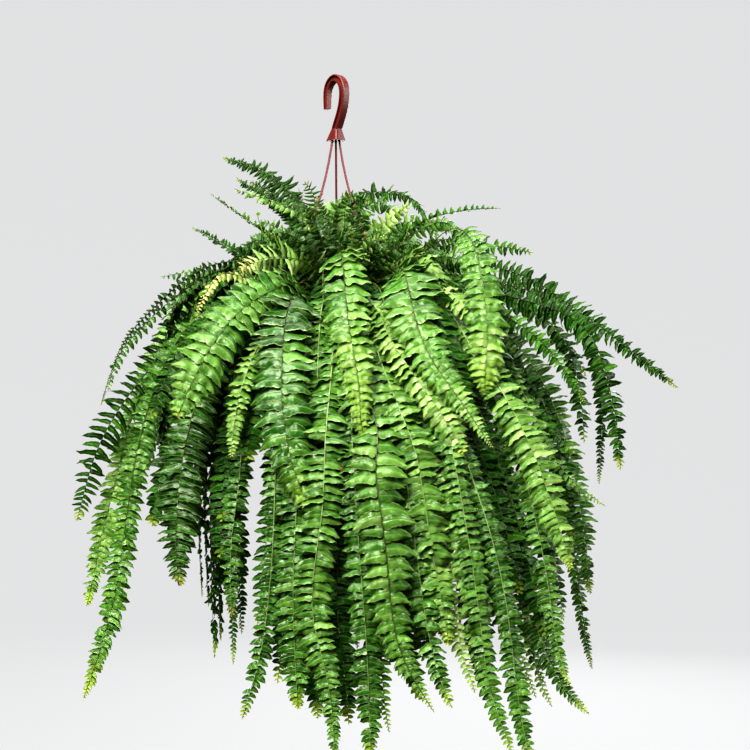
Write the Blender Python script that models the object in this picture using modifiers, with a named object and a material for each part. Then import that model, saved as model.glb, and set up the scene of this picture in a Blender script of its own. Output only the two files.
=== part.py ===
"""Boston fern in a hanging basket.

A plastic hook with a flared foot carries three thin strands. They clip into the flange of a pot that holds
potting soil, and the fern's crown sits on the soil. Every frond is one solid: a round stalk that leaves the
crown square to its surface and runs out into a thin blade, arching up, over the rim and down.

Metres, +Z up. The origin is under the top of the hook's arch, where a rod or a screw hook would carry it.
+X is to the right and -Y is the front. Lengths below are in millimetres, and MM turns them into metres.
"""

import math

import bmesh
import bpy
import numpy as np

MM = 0.001

# ---- driving dimensions, mm -------------------------------------------------------------------------------

HOOK_TURN = -45.0  # degrees about Z: the hook's plane stands oblique to the front
HOOK_THICK = 8.4  # of the section, in the hook's plane
HOOK_DEEP = 9.6  # of the section, across the plane
HOOK_CHANNEL = 2.6  # depth of the recess along each side
HOOK_RAIL = 2.0  # thickness of the two rails beside the recess
FOOT_TOP, FOOT_BOTTOM = -54.0, -68.0
FOOT_LONG, FOOT_WIDE = 18.5, 16.5  # of the foot's lower face

STRAND_R = 1.25
STRAND_RING = 4.6  # radius on which the strands enter the foot
STRAND_TURNS = (210.0, 330.0, 90.0)  # degrees round the pot: left, right and back
SOCKET_R, SOCKET_DEEP = 1.9, 7.0

RIM_Z = -297.0
POT_TOP_R = 96.0  # outside, under the flange
FLANGE_R = 107.0
FLANGE_THICK = 2.6
POT_BASE_R = 71.0
POT_HEIGHT = 140.0
POT_WALL = 2.0
CLIP_RING = 101.8  # radius of the strands' holes in the flange
DRAIN_RING, DRAIN_R, DRAINS = 44.0, 5.0, 6

SOIL_TOP = -305.0
CROWN_R, CROWN_HIGH = 66.0, 34.0
GAP = 0.3  # between pieces that touch

STALK_R = 1.3
BLADE_EDGE, BLADE_RIDGE = 0.35, 0.85  # half thicknesses at the edge and on the midline
STATIONS = 14  # sections along a frond

# ---- frond core: the same block stands in part.py and scene.py --------------------------------------------

VIEW_SCALE, VIEW_FAR = 1.15, 1500.0  # mm per unit of the front elevation on the pot's axis; mm to the eye
VIEW_MID, VIEW_AXIS = (375.0, 375.0), (45.0, -337.0)


def placed(u, v, depth):
    """The point drawn at (u, v) on the front elevation, depth mm behind the pot's axis, in mm."""
    k = VIEW_SCALE * (VIEW_FAR + depth) / VIEW_FAR
    return np.array(
        [VIEW_AXIS[0] + (u - VIEW_MID[0]) * k, depth, VIEW_AXIS[1] - (v - VIEW_MID[1]) * k]
    )


# Each frond: name, half-width of its blade in mm, how far it twists to face the front (0 to 1), how far out on
# the crown it grows (0 to 1), and the points its midline is drawn through, as (u, v, depth).
DRAWN = [
    ("frond_top_01", 17, 0.5, 0.3, [(318, 268, 6), (307, 220, 26), (295, 199, 44), (279, 181, 60), (263, 169, 72), (244, 162, 82), (223, 158, 90)]),
    ("frond_top_02", 14, 0.5, 0.4, [(316, 272, -8), (306, 228, 4), (290, 210, 14), (269, 198, 22), (250, 187, 28), (236, 178, 32)]),
    ("frond_top_03", 11, 0.3, 0.5, [(304, 284, -24), (282, 248, -34), (260, 229, -40), (247, 220, -43), (228, 207, -46), (210, 194, -48)]),
    ("frond_top_04", 10, 0.55, 0.6, [(290, 284, 10), (262, 266, 20), (241, 255, 26), (221, 243, 30), (209, 234, 33), (192, 228, 36)]),
    ("frond_top_05", 15, 0.6, 0.4, [(343, 262, 34), (348, 200, 62), (371, 191, 70), (395, 191, 72), (415, 195, 70), (425, 208, 66), (429, 224, 62)]),
    ("frond_top_06", 11, 0.7, 0.3, [(352, 276, -14), (368, 236, -18), (387, 219, -18), (411, 203, -16)]),
    ("frond_top_08", 13, 0.5, 0.2, [(318, 262, 50), (317, 222, 72), (320, 196, 84), (316, 184, 84), (304, 182, 80)]),
    ("frond_left_01", 12, 0.45, 0.7, [(262, 264, 0), (215, 262, 12), (175, 287, 16), (149, 314, 18), (124, 337, 18), (115, 362, 18), (108, 381, 18), (101, 405, 18)]),
    ("frond_left_02", 23, 0.8, 0.8, [(258, 288, 36), (210, 288, 40), (175, 332, 38), (158, 359, 36), (137, 384, 32), (120, 407, 28), (106, 430, 25), (95, 453, 22), (87, 482, 20), (77, 521, 18)]),
    ("frond_left_03", 27, 0.75, 0.5, [(310, 286, -88), (290, 284, -120), (270, 290, -140), (248, 303, -155), (229, 320, -170), (214, 341, -181), (202, 362, -187), (191, 384, -191), (183, 402, -193), (177, 418, -194)]),
    ("frond_left_04", 18, 0.85, 0.4, [(330, 276, -52), (314, 264, -66), (290, 258, -84), (267, 257, -96), (248, 261, -104), (239, 271, -108)]),
    ("frond_left_05", 15, 0.7, 0.7, [(300, 300, -96), (272, 320, -136), (254, 354, -168), (244, 378, -180), (237, 403, -187), (233, 428, -191), (231, 458, -193)]),
    ("frond_left_06", 27, 0.75, 0.7, [(272, 296, -62), (228, 324, -92), (206, 366, -110), (195, 406, -119), (184, 449, -126), (178, 500, -130), (175, 542, -131), (179, 586, -130)]),
    ("frond_left_07", 19, 0.8, 0.9, [(256, 290, 66), (196, 300, 70), (155, 360, 64), (130, 424, 56), (114, 490, 50), (104, 526, 47), (96, 565, 45), (87, 606, 43)]),
    ("frond_left_08", 17, 0.8, 0.9, [(244, 296, -22), (190, 322, -32), (156, 384, -36), (136, 456, -38), (124, 536, -40), (117, 584, -41), (110, 618, -42), (98, 657, -43), (84, 698, -44)]),
    ("frond_left_09", 14, 0.8, 0.9, [(284, 306, -90), (256, 356, -128), (243, 416, -144), (241, 469, -150), (237, 502, -151), (231, 536, -152), (230, 570, -152), (232, 620, -152)]),
    ("frond_left_10", 13, 0.8, 0.9, [(300, 312, -106), (282, 384, -160), (276, 460, -180), (274, 520, -187), (272, 565, -190), (268, 603, -192), (262, 651, -194), (242, 719, -196)]),
    ("frond_front_01", 27, 0.9, 0.3, [(338, 266, -64), (339, 247, -94), (341, 246, -114), (344, 276, -144), (348, 322, -182), (354, 355, -200), (362, 395, -214), (369, 437, -221)]),
    ("frond_front_02", 33, 0.85, 0.5, [(308, 296, -100), (296, 288, -130), (289, 296, -148), (284, 330, -170), (281, 385, -198), (284, 427, -209), (293, 470, -217), (311, 510, -222)]),
    ("frond_front_03", 32, 0.9, 0.5, [(386, 278, -80), (398, 263, -110), (403, 264, -128), (409, 290, -154), (417, 328, -181), (430, 359, -196), (444, 379, -205), (460, 399, -212), (478, 427, -218), (493, 449, -222)]),
    ("frond_front_04", 28, 0.8, 0.6, [(354, 300, -106), (361, 372, -186), (371, 448, -228), (376, 484, -238), (382, 520, -243), (387, 559, -246), (390, 599, -248), (394, 632, -249), (402, 660, -250), (418, 687, -251), (434, 712, -252)]),
    ("frond_front_05", 19, 0.7, 0.7, [(402, 296, -96), (427, 366, -166), (447, 460, -206), (459, 512, -216), (468, 551, -220), (474, 591, -223), (479, 645, -225), (485, 677, -226)]),
    ("frond_front_06", 21, 0.75, 0.5, [(364, 290, -96), (376, 352, -168), (389, 380, -188), (400, 408, -202), (410, 443, -213), (416, 476, -219), (422, 505, -223), (428, 535, -226), (435, 567, -228), (443, 607, -229), (449, 646, -230)]),
    ("frond_front_07", 24, 0.8, 0.8, [(332, 304, -112), (328, 376, -182), (325, 440, -212), (323, 504, -226), (317, 548, -231), (311, 591, -234), (312, 624, -235), (322, 655, -236), (330, 692, -237), (334, 738, -237), (335, 772, -237)]),
    ("frond_front_08", 20, 0.8, 0.9, [(312, 310, -116), (303, 390, -182), (299, 450, -202), (297, 504, -212), (294, 553, -217), (293, 604, -219), (295, 660, -220), (298, 709, -220)]),
    ("frond_front_09", 17, 0.8, 0.6, [(328, 300, -112), (321, 346, -160), (320, 387, -184), (323, 419, -194), (327, 455, -199), (329, 486, -202)]),
    ("frond_front_10", 18, 0.7, 0.8, [(418, 304, -82), (446, 386, -152), (470, 489, -186), (486, 532, -194), (495, 566, -197), (503, 602, -199), (506, 642, -200)]),
    ("frond_right_01", 10, 0.35, 0.4, [(372, 270, 14), (408, 230, 30), (440, 214, 38), (464, 211, 43), (487, 207, 46), (501, 209, 48)]),
    ("frond_right_02", 12, 0.9, 0.5, [(384, 276, 34), (428, 248, 60), (458, 244, 72), (482, 245, 80), (507, 247, 86), (533, 253, 90)]),
    ("frond_right_03", 16, 0.85, 0.6, [(405, 280, -6), (447, 262, -16), (488, 265, -22), (516, 272, -25), (540, 283, -27), (562, 299, -29), (586, 317, -31), (612, 336, -33), (637, 356, -34), (660, 374, -35), (678, 388, -36)]),
    ("frond_right_04", 18, 0.8, 0.7, [(418, 288, -44), (458, 284, -64), (499, 294, -74), (530, 302, -79), (554, 308, -82), (577, 318, -84), (594, 336, -85), (604, 365, -86), (612, 400, -86), (619, 435, -86), (620, 470, -86)]),
    ("frond_right_05", 21, 0.9, 0.5, [(418, 262, -50), (440, 232, -72), (458, 222, -90), (470, 232, -106), (478, 256, -122), (484, 288, -138), (487, 318, -150), (488, 352, -160), (488, 393, -166)]),
    ("frond_right_06", 15, 0.8, 0.7, [(440, 294, -66), (476, 302, -92), (506, 316, -107), (531, 331, -114), (550, 349, -118), (564, 368, -120), (577, 387, -121), (585, 403, -122)]),
    ("frond_right_07", 21, 0.8, 0.7, [(440, 302, -96), (470, 345, -142), (495, 387, -168), (514, 412, -177), (527, 438, -182), (538, 464, -185), (547, 490, -187), (555, 513, -188), (562, 537, -188), (571, 569, -188)]),
    ("frond_right_08", 14, 0.8, 0.7, [(430, 284, 26), (500, 282, 30), (560, 306, 28), (590, 342, 24), (601, 383, 20), (603, 421, 18), (601, 451, 17), (599, 484, 16)]),
    ("frond_right_09", 11, 0.6, 0.9, [(446, 304, -70), (498, 352, -108), (530, 406, -124), (549, 450, -130), (566, 478, -133), (585, 493, -134), (605, 506, -134)]),
    ("frond_right_10", 19, 0.7, 0.9, [(440, 300, -20), (508, 334, -40), (547, 390, -50), (566, 440, -54), (577, 490, -57), (586, 545, -59), (590, 594, -60)]),
    ("frond_right_11", 13, 0.7, 1.0, [(436, 312, 30), (508, 356, 44), (548, 432, 44), (569, 520, 38), (580, 600, 32), (586, 640, 30), (592, 669, 30)]),
    ("frond_right_12", 14, 0.8, 0.9, [(430, 312, -90), (488, 384, -142), (522, 470, -162), (540, 540, -168), (550, 598, -171), (557, 650, -172), (568, 687, -172)]),
    ("frond_low_01", 14, 0.8, 1.0, [(424, 316, -62), (474, 398, -126), (506, 484, -150), (523, 560, -158), (536, 628, -161), (549, 663, -162), (566, 692, -163), (589, 714, -163)]),
    ("frond_low_02", 14, 0.8, 1.0, [(404, 316, -100), (446, 410, -176), (480, 500, -206), (500, 570, -214), (509, 622, -217), (514, 667, -218), (520, 713, -219), (531, 766, -219)]),
    ("frond_low_03", 15, 0.8, 0.9, [(384, 306, -112), (404, 410, -198), (412, 500, -222), (420, 580, -231), (429, 640, -234), (438, 676, -235), (452, 708, -236)]),
    ("frond_low_04", 17, 0.8, 1.0, [(348, 310, -118), (352, 420, -204), (357, 520, -224), (363, 600, -230), (367, 650, -232), (369, 705, -233), (371, 762, -233)]),
]

# Fronds on the far side and the flanks, drawn by rule: name, half-width, compass turn in degrees (0 right,
# 90 back), reach, height of the arch above the crown, drop of the tip below the crown, and sideways sweep in
# degrees from root to tip.
RULED = [
    ("frond_back_01", 26, 64.0, 238.0, 118.0, 300.0, 10.0),
    ("frond_back_02", 24, 93.0, 250.0, 106.0, 392.0, -8.0),
    ("frond_back_03", 25, 121.0, 244.0, 112.0, 268.0, 8.0),
    ("frond_back_04", 22, 30.0, 262.0, 74.0, 236.0, 12.0),
    ("frond_back_05", 22, 152.0, 258.0, 62.0, 330.0, -12.0),
    ("frond_back_06", 20, 78.0, 196.0, 146.0, 90.0, -10.0),
    ("frond_back_07", 20, 106.0, 190.0, 152.0, 60.0, 12.0),
    ("frond_back_08", 18, 138.0, 176.0, 112.0, 150.0, -14.0),
    ("frond_back_09", 18, 48.0, 180.0, 120.0, 130.0, 14.0),
]


def crown_at(r):
    """Height of the crown's surface above the soil at this radius, and the outward normal as (out, up)."""
    k = math.sqrt(max(1 - (r / CROWN_R) ** 2, 1e-6))
    normal = np.array([r / CROWN_R**2, k / CROWN_HIGH])
    return CROWN_HIGH * k, normal / np.linalg.norm(normal)


def smooth_line(points, step):
    """Points every step mm along a centripetal Catmull-Rom curve through these ones."""
    p = np.array(points, float)
    p = np.vstack([2 * p[0] - p[1], p, 2 * p[-1] - p[-2]])
    fine = []
    for a, b, c, d in zip(p[:-3], p[1:-2], p[2:-1], p[3:]):
        t1 = max(np.linalg.norm(b - a), 1e-6) ** 0.5
        t2 = t1 + max(np.linalg.norm(c - b), 1e-6) ** 0.5
        t3 = t2 + max(np.linalg.norm(d - c), 1e-6) ** 0.5
        t = np.linspace(t1, t2, 16, endpoint=False)[:, None]
        ab = (t1 - t) / t1 * a + t / t1 * b
        bc = (t2 - t) / (t2 - t1) * b + (t - t1) / (t2 - t1) * c
        cd = (t3 - t) / (t3 - t2) * c + (t - t2) / (t3 - t2) * d
        abc = (t2 - t) / t2 * ab + t / t2 * bc
        bcd = (t3 - t) / (t3 - t1) * bc + (t - t1) / (t3 - t1) * cd
        fine.append((t2 - t) / (t2 - t1) * abc + (t - t1) / (t2 - t1) * bcd)
    fine = np.vstack([*fine, p[-2:-1]])
    return spaced(fine, max(int(round(length_of(fine) / step)), 4) + 1)


def length_of(line):
    return float(np.linalg.norm(np.diff(line, axis=0), axis=1).sum())


def spaced(line, count):
    """This many points evenly along a line."""
    run = np.concatenate([[0], np.cumsum(np.linalg.norm(np.diff(line, axis=0), axis=1))])
    at = np.linspace(0, run[-1], count)
    return np.stack([np.interp(at, run, line[:, k]) for k in range(3)], 1)


def ruled_points(turn, reach, rise, drop, sweep):
    """Points of a frond that rises from the crown, arches over the rim and hangs."""
    top = SOIL_TOP + CROWN_HIGH
    steps = [
        (0.42, 0.86 * rise, 0.1),
        (0.66, rise, 0.25),
        (0.86, 0.62 * rise, 0.45),
        (0.97, -0.05 * drop, 0.62),
        (1.0, -0.45 * drop, 0.8),
        (0.985, -0.75 * drop, 0.92),
        (0.96, -drop, 1.0),
    ]
    found = []
    for out, up, way in steps:
        a = math.radians(turn + sweep * (way - 0.4))
        found.append([reach * out * math.cos(a), reach * out * math.sin(a), top + up])
    return found


def crown_seats(count, reach=56.0):
    """Evenly spread places on the crown, as a sunflower's seeds lie."""
    return [
        np.array([math.cos(k * 2.39996), math.sin(k * 2.39996)]) * reach * math.sqrt((k + 0.5) / count)
        for k in range(count)
    ]


def wished_seat(row):
    """Where on the crown a frond would grow from, to leave it without crossing the others."""
    first = np.array(row["points"][0][:2])
    later = np.array(row["points"][min(2, len(row["points"]) - 1)][:2])
    way = 0.5 * first / max(np.linalg.norm(first), 1) + 0.5 * later / max(np.linalg.norm(later), 1)
    return way / max(np.linalg.norm(way), 1e-6) * (8 + 46 * row["out"])


def seat_all(rows):
    """Gives each frond a seat of its own, swapping seats while that brings them nearer to their wishes."""
    seats = crown_seats(len(rows))
    wishes = [wished_seat(row) for row in rows]
    cost = np.array([[float(((seat - wish) ** 2).sum()) for seat in seats] for wish in wishes])
    chosen = list(range(len(rows)))
    for _ in range(40):
        better = False
        for i in range(len(rows)):
            for j in range(i):
                a, b = chosen[i], chosen[j]
                if cost[i, b] + cost[j, a] < cost[i, a] + cost[j, b] - 1e-9:
                    chosen[i], chosen[j] = b, a
                    better = True
        if not better:
            break
    for row, k in zip(rows, chosen):
        row["seat"] = seats[k]


def rooted(row):
    """The midline's points from the crown on, leaving it square to its surface."""
    seat = row["seat"]
    r = float(np.linalg.norm(seat))
    high, normal = crown_at(r)
    up = np.array([*(seat / max(r, 1e-6) * normal[0]), normal[1]])
    root = np.array([*seat, SOIL_TOP + GAP + high]) + up * GAP
    head = root + up * 9.0
    goal = np.array(row["points"][0], float)
    lift = goal - head
    bend = head + lift * np.array([0.36, 0.36, 0.58]) + np.array([0, 0, 0.06 * np.linalg.norm(lift)])
    return root, head, [bend, *row["points"]]


def midlines():
    """Every frond's midline, as points about 9 mm apart, before they are moved clear of each other."""
    rows = [
        {"name": n, "wide": w, "face": f, "out": o, "points": [placed(*p) for p in pts]}
        for n, w, f, o, pts in DRAWN
    ] + [
        {"name": n, "wide": w, "face": 0.0, "out": 0.75 if rise < 125 else 0.35, "points": ruled_points(t, reach, rise, drop, sweep)}
        for n, w, t, reach, rise, drop, sweep in RULED
    ]
    seat_all(rows)
    for row in rows:
        root, head, rest = rooted(row)
        row["line"] = np.vstack([root[None], smooth_line([head, *rest], 9.0)])
    return rows


def strand_line(turn):
    """A strand's midline from inside the hook's foot to its clip under the flange, in mm."""
    a = math.radians(turn)
    low, high = RIM_Z + 9.0, FOOT_BOTTOM
    found = [(STRAND_RING, FOOT_BOTTOM + 6.0), (STRAND_RING, FOOT_BOTTOM + 1.0)]
    for k in range(13):
        s = (k + 0.4) / 12.6
        r = STRAND_RING + (CLIP_RING - STRAND_RING) * (0.34 * s + 0.66 * s * s)
        found.append((r, high + (low - high) * s))
    found += [(CLIP_RING, RIM_Z + 6.0), (CLIP_RING, RIM_Z - FLANGE_THICK - 0.6)]
    return np.array([[r * math.cos(a), r * math.sin(a), z] for r, z in found])


def pot_outside(z):
    """The pot's outer radius at this height, flange included."""
    if z > RIM_Z - FLANGE_THICK - 8:
        return FLANGE_R
    k = (RIM_Z - z) / POT_HEIGHT
    return POT_TOP_R + (POT_BASE_R - POT_TOP_R) * min(k, 1.0)


def move_clear(rows, least=15.0, rounds=96):
    """Moves the midlines apart where they crowd, and off the strands, the pot and the crown."""
    lines = [row["line"] for row in rows]
    count = [len(x) for x in lines]
    owner = np.repeat(np.arange(len(lines)), count)
    start = np.concatenate([[0], np.cumsum(count)])
    along = np.concatenate([np.arange(n) for n in count]) * 9.0
    free = np.clip((along - 14.0) / 60.0, 0, 1)
    fixed = np.vstack([spaced(strand_line(t), 60) for t in STRAND_TURNS])
    p = np.vstack(lines)
    n = len(p)
    everything = np.vstack([p, fixed])
    whose = np.concatenate([owner, np.full(len(fixed), -1)])
    for turn in range(rounds):
        if turn % 8 == 0:
            everything[:n] = p
            gap = np.empty((n, len(everything)), np.float32)
            for k in range(3):
                d = p[:, k, None].astype(np.float32) - everything[None, :, k].astype(np.float32)
                gap = d * d if k == 0 else gap + d * d
            near = (gap < (least + 22.0) ** 2) & (owner[:, None] != whose[None, :])
            first, second = np.nonzero(near)
        everything[:n] = p
        apart = p[first] - everything[second]
        tangent = np.gradient(p, axis=0)
        tangent /= np.maximum(np.linalg.norm(tangent, axis=1), 1e-6)[:, None]
        across = apart - (apart * tangent[first]).sum(1)[:, None] * tangent[first]
        size = np.linalg.norm(apart, axis=1)
        width = np.maximum(np.linalg.norm(across, axis=1), 0.5)
        share = np.where(second >= n, 1.0, 0.5)
        want = np.where(second >= n, least * 0.75, least)
        push = np.clip(want - size, 0, None) * share
        step = np.zeros((n, 3))
        weight = np.zeros(n)
        hit = push > 0
        for k in range(3):
            step[:, k] = np.bincount(first[hit], across[hit, k] / width[hit] * push[hit], n)
        weight[:] = np.bincount(first[hit], None, n)
        step /= np.maximum(weight, 1)[:, None] ** 0.5
        radius = np.linalg.norm(p[:, :2], axis=1)
        out = np.array([pot_outside(z) for z in p[:, 2]]) + 12.0
        inside = (p[:, 2] < RIM_Z + 10) & (radius < out) & (along > 90)
        step[inside, :2] += p[inside, :2] / np.maximum(radius[inside], 1)[:, None] * (out - radius)[inside, None] * 0.5
        floor = SOIL_TOP + CROWN_HIGH * np.sqrt(np.clip(1 - (radius / CROWN_R) ** 2, 0, 1)) + 6.0
        floor = np.where(radius < FLANGE_R + 4, np.maximum(floor, RIM_Z + 9.0), -1e9)
        low = (p[:, 2] < floor) & (along > 20) & ~inside
        step[low, 2] += (floor - p[:, 2])[low] * 0.5
        for k in range(len(lines)):
            part = step[start[k] : start[k + 1]]
            for _ in range(3):
                part[1:-1] = 0.5 * part[1:-1] + 0.25 * (part[:-2] + part[2:])
        p = p + step * free[:, None]
        for k in range(len(lines)):
            part = p[start[k] : start[k + 1]]
            soft = 0.25 * (part[:-2] + part[2:]) + 0.5 * part[1:-1]
            part[2:-1] += 0.12 * (soft - part[1:-1])[1:]
    for k, row in enumerate(rows):
        row["line"] = p[start[k] : start[k + 1]]
    return rows


def frames_along(line, face):
    """The tangent, side and upper normal at each point of a midline. face turns the blade to the front."""
    tangent = np.gradient(line, axis=0)
    tangent /= np.linalg.norm(tangent, axis=1)[:, None]
    span = line[int(len(line) * 0.75)] - line[0]
    way = np.array([span[0], span[1], 0.0])
    way /= max(np.linalg.norm(way), 1e-6)
    side0 = np.cross([0, 0, 1.0], way)
    up = np.cross(tangent, side0)
    up /= np.maximum(np.linalg.norm(up, axis=1), 1e-6)[:, None]
    share = face * np.clip((np.linspace(0, 1, len(line)) - 0.08) / 0.24, 0, 1)[:, None]
    up = (1 - share) * up + share * np.array([0, -1.0, 0])
    up -= (up * tangent).sum(1)[:, None] * tangent
    up /= np.maximum(np.linalg.norm(up, axis=1), 1e-6)[:, None]
    for k in range(1, len(up)):
        if (up[k] * up[k - 1]).sum() < 0:
            up[k] = -up[k]
    side = np.cross(up, tangent)
    return tangent, side, up


# ---- end of the frond core --------------------------------------------------------------------------------


for old in list(bpy.data.objects):
    bpy.data.objects.remove(old, do_unlink=True)

FERN = bpy.data.collections.new("boston_fern_in_hanging_basket")
bpy.context.scene.collection.children.link(FERN)
HELPERS = bpy.data.collections.new("cutters")
bpy.context.scene.collection.children.link(HELPERS)
ROOT = bpy.data.objects.new("fern_in_basket", None)
FERN.objects.link(ROOT)


def material(name, colour, roughness, metallic=0.0):
    made = bpy.data.materials.new(name)
    made.use_nodes = True
    shader = made.node_tree.nodes["Principled BSDF"]
    shader.inputs["Base Color"].default_value = (*colour, 1.0)
    shader.inputs["Roughness"].default_value = roughness
    shader.inputs["Metallic"].default_value = metallic
    return made


def add_mesh(name, bm, mat, smooth=True, collection=None):
    data = bpy.data.meshes.new(name)
    bm.to_mesh(data)
    bm.free()
    data.polygons.foreach_set("use_smooth", [smooth] * len(data.polygons))
    obj = bpy.data.objects.new(name, data)
    (collection or FERN).objects.link(obj)
    if mat is not None:
        data.materials.append(mat)
    if collection is None:
        obj.parent = ROOT
    return obj


def as_cutter(obj):
    obj.hide_render = True
    obj.display_type = "WIRE"
    return obj


def boolean(obj, other, operation):
    mod = obj.modifiers.new(operation.lower(), "BOOLEAN")
    mod.operation = operation
    mod.solver = "EXACT"
    mod.object = other
    return mod


def meshed(curve_obj):
    """The mesh of a curve object, its caps welded, facing out."""
    bpy.context.view_layer.update()
    graph = bpy.context.evaluated_depsgraph_get()
    data = bpy.data.meshes.new_from_object(curve_obj.evaluated_get(graph))
    bm = bmesh.new()
    bm.from_mesh(data)
    bmesh.ops.remove_doubles(bm, verts=bm.verts, dist=1e-6)
    bmesh.ops.recalc_face_normals(bm, faces=bm.faces)
    bpy.data.meshes.remove(data)
    return bm


def rod(name, points, radius, mat, thick=None, sides=2):
    """A round rod along points in mm. thick scales its radius at each point."""
    data = bpy.data.curves.new(name, "CURVE")
    data.dimensions = "3D"
    data.bevel_depth = radius * MM
    data.bevel_resolution = sides
    data.use_fill_caps = True
    spline = data.splines.new("POLY")
    spline.points.add(len(points) - 1)
    for k, (point, at) in enumerate(zip(spline.points, points)):
        point.co = (at[0] * MM, at[1] * MM, at[2] * MM, 1)
        point.radius = thick[k] if thick is not None else 1.0
    obj = bpy.data.objects.new(name, data)
    FERN.objects.link(obj)
    obj.parent = ROOT
    data.materials.append(mat)
    return obj


def turned(name, profile, steps, mat):
    """A closed profile of (radius, height) in mm at +X, top to bottom, turned about Z."""
    bm = bmesh.new()
    verts = [bm.verts.new((r * MM, 0, z * MM)) for r, z in profile]
    for a, b in zip(verts, verts[1:]):
        bm.edges.new((a, b))
    if profile[0][0] > 0:
        bm.edges.new((verts[-1], verts[0]))
    obj = add_mesh(name, bm, mat)
    screw = obj.modifiers.new("turn", "SCREW")
    screw.axis = "Z"
    screw.angle = math.tau
    screw.steps = steps
    screw.render_steps = steps
    screw.use_merge_vertices = True
    screw.merge_threshold = 0.00005
    screw.use_smooth_shade = True
    return obj


# ---- hanger -----------------------------------------------------------------------------------------------

plastic = material("hanger_plastic", (0.19, 0.03, 0.02), 0.42)

# The J's midline in its own plane, from inside the foot up the shank, over the arch and down to the tip.
HOOK_PATH = [
    (0.0, -62.0), (1.0, -56.0), (4.4, -48.0), (8.6, -39.0), (11.8, -30.0), (13.6, -21.0), (13.9, -12.5),
    (12.2, -5.2), (8.4, 0.4), (3.0, 3.8), (-2.6, 4.0), (-8.0, 1.2), (-12.0, -4.2), (-13.9, -11.4),
    (-14.3, -20.0), (-14.2, -29.5),
]
hook_points = smooth_line([(x, y, 0.0) for x, y in HOOK_PATH], 3.6)
hook_run = np.linspace(0, 1, len(hook_points))

section = bpy.data.curves.new("hook_section", "CURVE")
section.dimensions = "2D"
outline = section.splines.new("POLY")
a, b = HOOK_THICK / 2, HOOK_DEEP / 2
inner, web = a - HOOK_RAIL, b - HOOK_CHANNEL
corner = 0.7
corners = [
    (a, -b + corner), (a, b - corner), (a - corner, b), (inner + 0.3, b), (inner - 0.2, web),
    (-inner + 0.2, web), (-inner - 0.3, b), (-a + corner, b), (-a, b - corner),
    (-a, -b + corner), (-a + corner, -b), (-inner - 0.3, -b), (-inner + 0.2, -web),
    (inner - 0.2, -web), (inner + 0.3, -b), (a - corner, -b),
]
outline.points.add(len(corners) - 1)
for point, (x, y) in zip(outline.points, corners):
    point.co = (x * MM, y * MM, 0, 1)
outline.use_cyclic_u = True
section_obj = bpy.data.objects.new("hook_section", section)
HELPERS.objects.link(section_obj)
as_cutter(section_obj)

path = bpy.data.curves.new("hook_path", "CURVE")
path.dimensions = "2D"
path.fill_mode = "NONE"
path.bevel_mode = "OBJECT"
path.bevel_object = section_obj
path.use_fill_caps = True
spline = path.splines.new("POLY")
spline.points.add(len(hook_points) - 1)
for k, point in enumerate(spline.points):
    x, y, _ = hook_points[k]
    point.co = (x * MM, y * MM, 0, 1)
    point.radius = 1.0 - 0.26 * max(0.0, (hook_run[k] - 0.55) / 0.45)
path_obj = bpy.data.objects.new("hook_path", path)
HELPERS.objects.link(path_obj)
bm = meshed(path_obj)
bpy.data.objects.remove(path_obj, do_unlink=True)
hook = add_mesh("hanger_hook", bm, plastic, smooth=False)

# The foot flares from the shank to a lower face that holds the three sockets.
bm = bmesh.new()
bmesh.ops.create_cube(bm, size=1.0)
for v in bm.verts:
    top = v.co.z > 0
    long, wide = (9.4, 9.8) if top else (FOOT_LONG, FOOT_WIDE)
    v.co.x = math.copysign(long / 2, v.co.x) * MM + (1.2 * MM if top else 0)
    v.co.y = math.copysign(wide / 2, v.co.y) * MM
    v.co.z = (FOOT_TOP if top else FOOT_BOTTOM) * MM
bmesh.ops.bevel(
    bm, geom=[e for e in bm.edges if abs(e.verts[0].co.z - e.verts[1].co.z) > 1e-4],
    offset=2.6 * MM, segments=3, profile=0.5, affect="EDGES",
)
foot = add_mesh("foot_block", bm, None, collection=HELPERS)
as_cutter(foot)
hook.rotation_euler = (math.radians(90), 0, math.radians(HOOK_TURN))
foot.rotation_euler = (0, 0, math.radians(HOOK_TURN))
boolean(hook, foot, "UNION")
for k, turn in enumerate(STRAND_TURNS):
    bm = bmesh.new()
    bmesh.ops.create_cone(
        bm, cap_ends=True, segments=12, radius1=SOCKET_R * MM, radius2=SOCKET_R * MM,
        depth=SOCKET_DEEP * 2 * MM,
    )
    hole = as_cutter(add_mesh(f"socket_cutter_{k + 1}", bm, None, collection=HELPERS))
    at = math.radians(turn)
    hole.location = (STRAND_RING * math.cos(at) * MM, STRAND_RING * math.sin(at) * MM, FOOT_BOTTOM * MM)
    boolean(hook, hole, "DIFFERENCE")

for k, turn in enumerate(STRAND_TURNS):
    line = strand_line(turn)
    a = math.radians(turn)
    base = RIM_Z - FLANGE_THICK
    tail = [[CLIP_RING * math.cos(a), CLIP_RING * math.sin(a), base - d] for d in (0.9, 3.2, 6.0)]
    thick = [1.0] * len(line) + [2.0, 1.9, 0.7]
    rod(f"hanger_strand_{k + 1}", [*line, *tail], STRAND_R, plastic, thick, sides=1)

# ---- pot, soil and crown ----------------------------------------------------------------------------------

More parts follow.
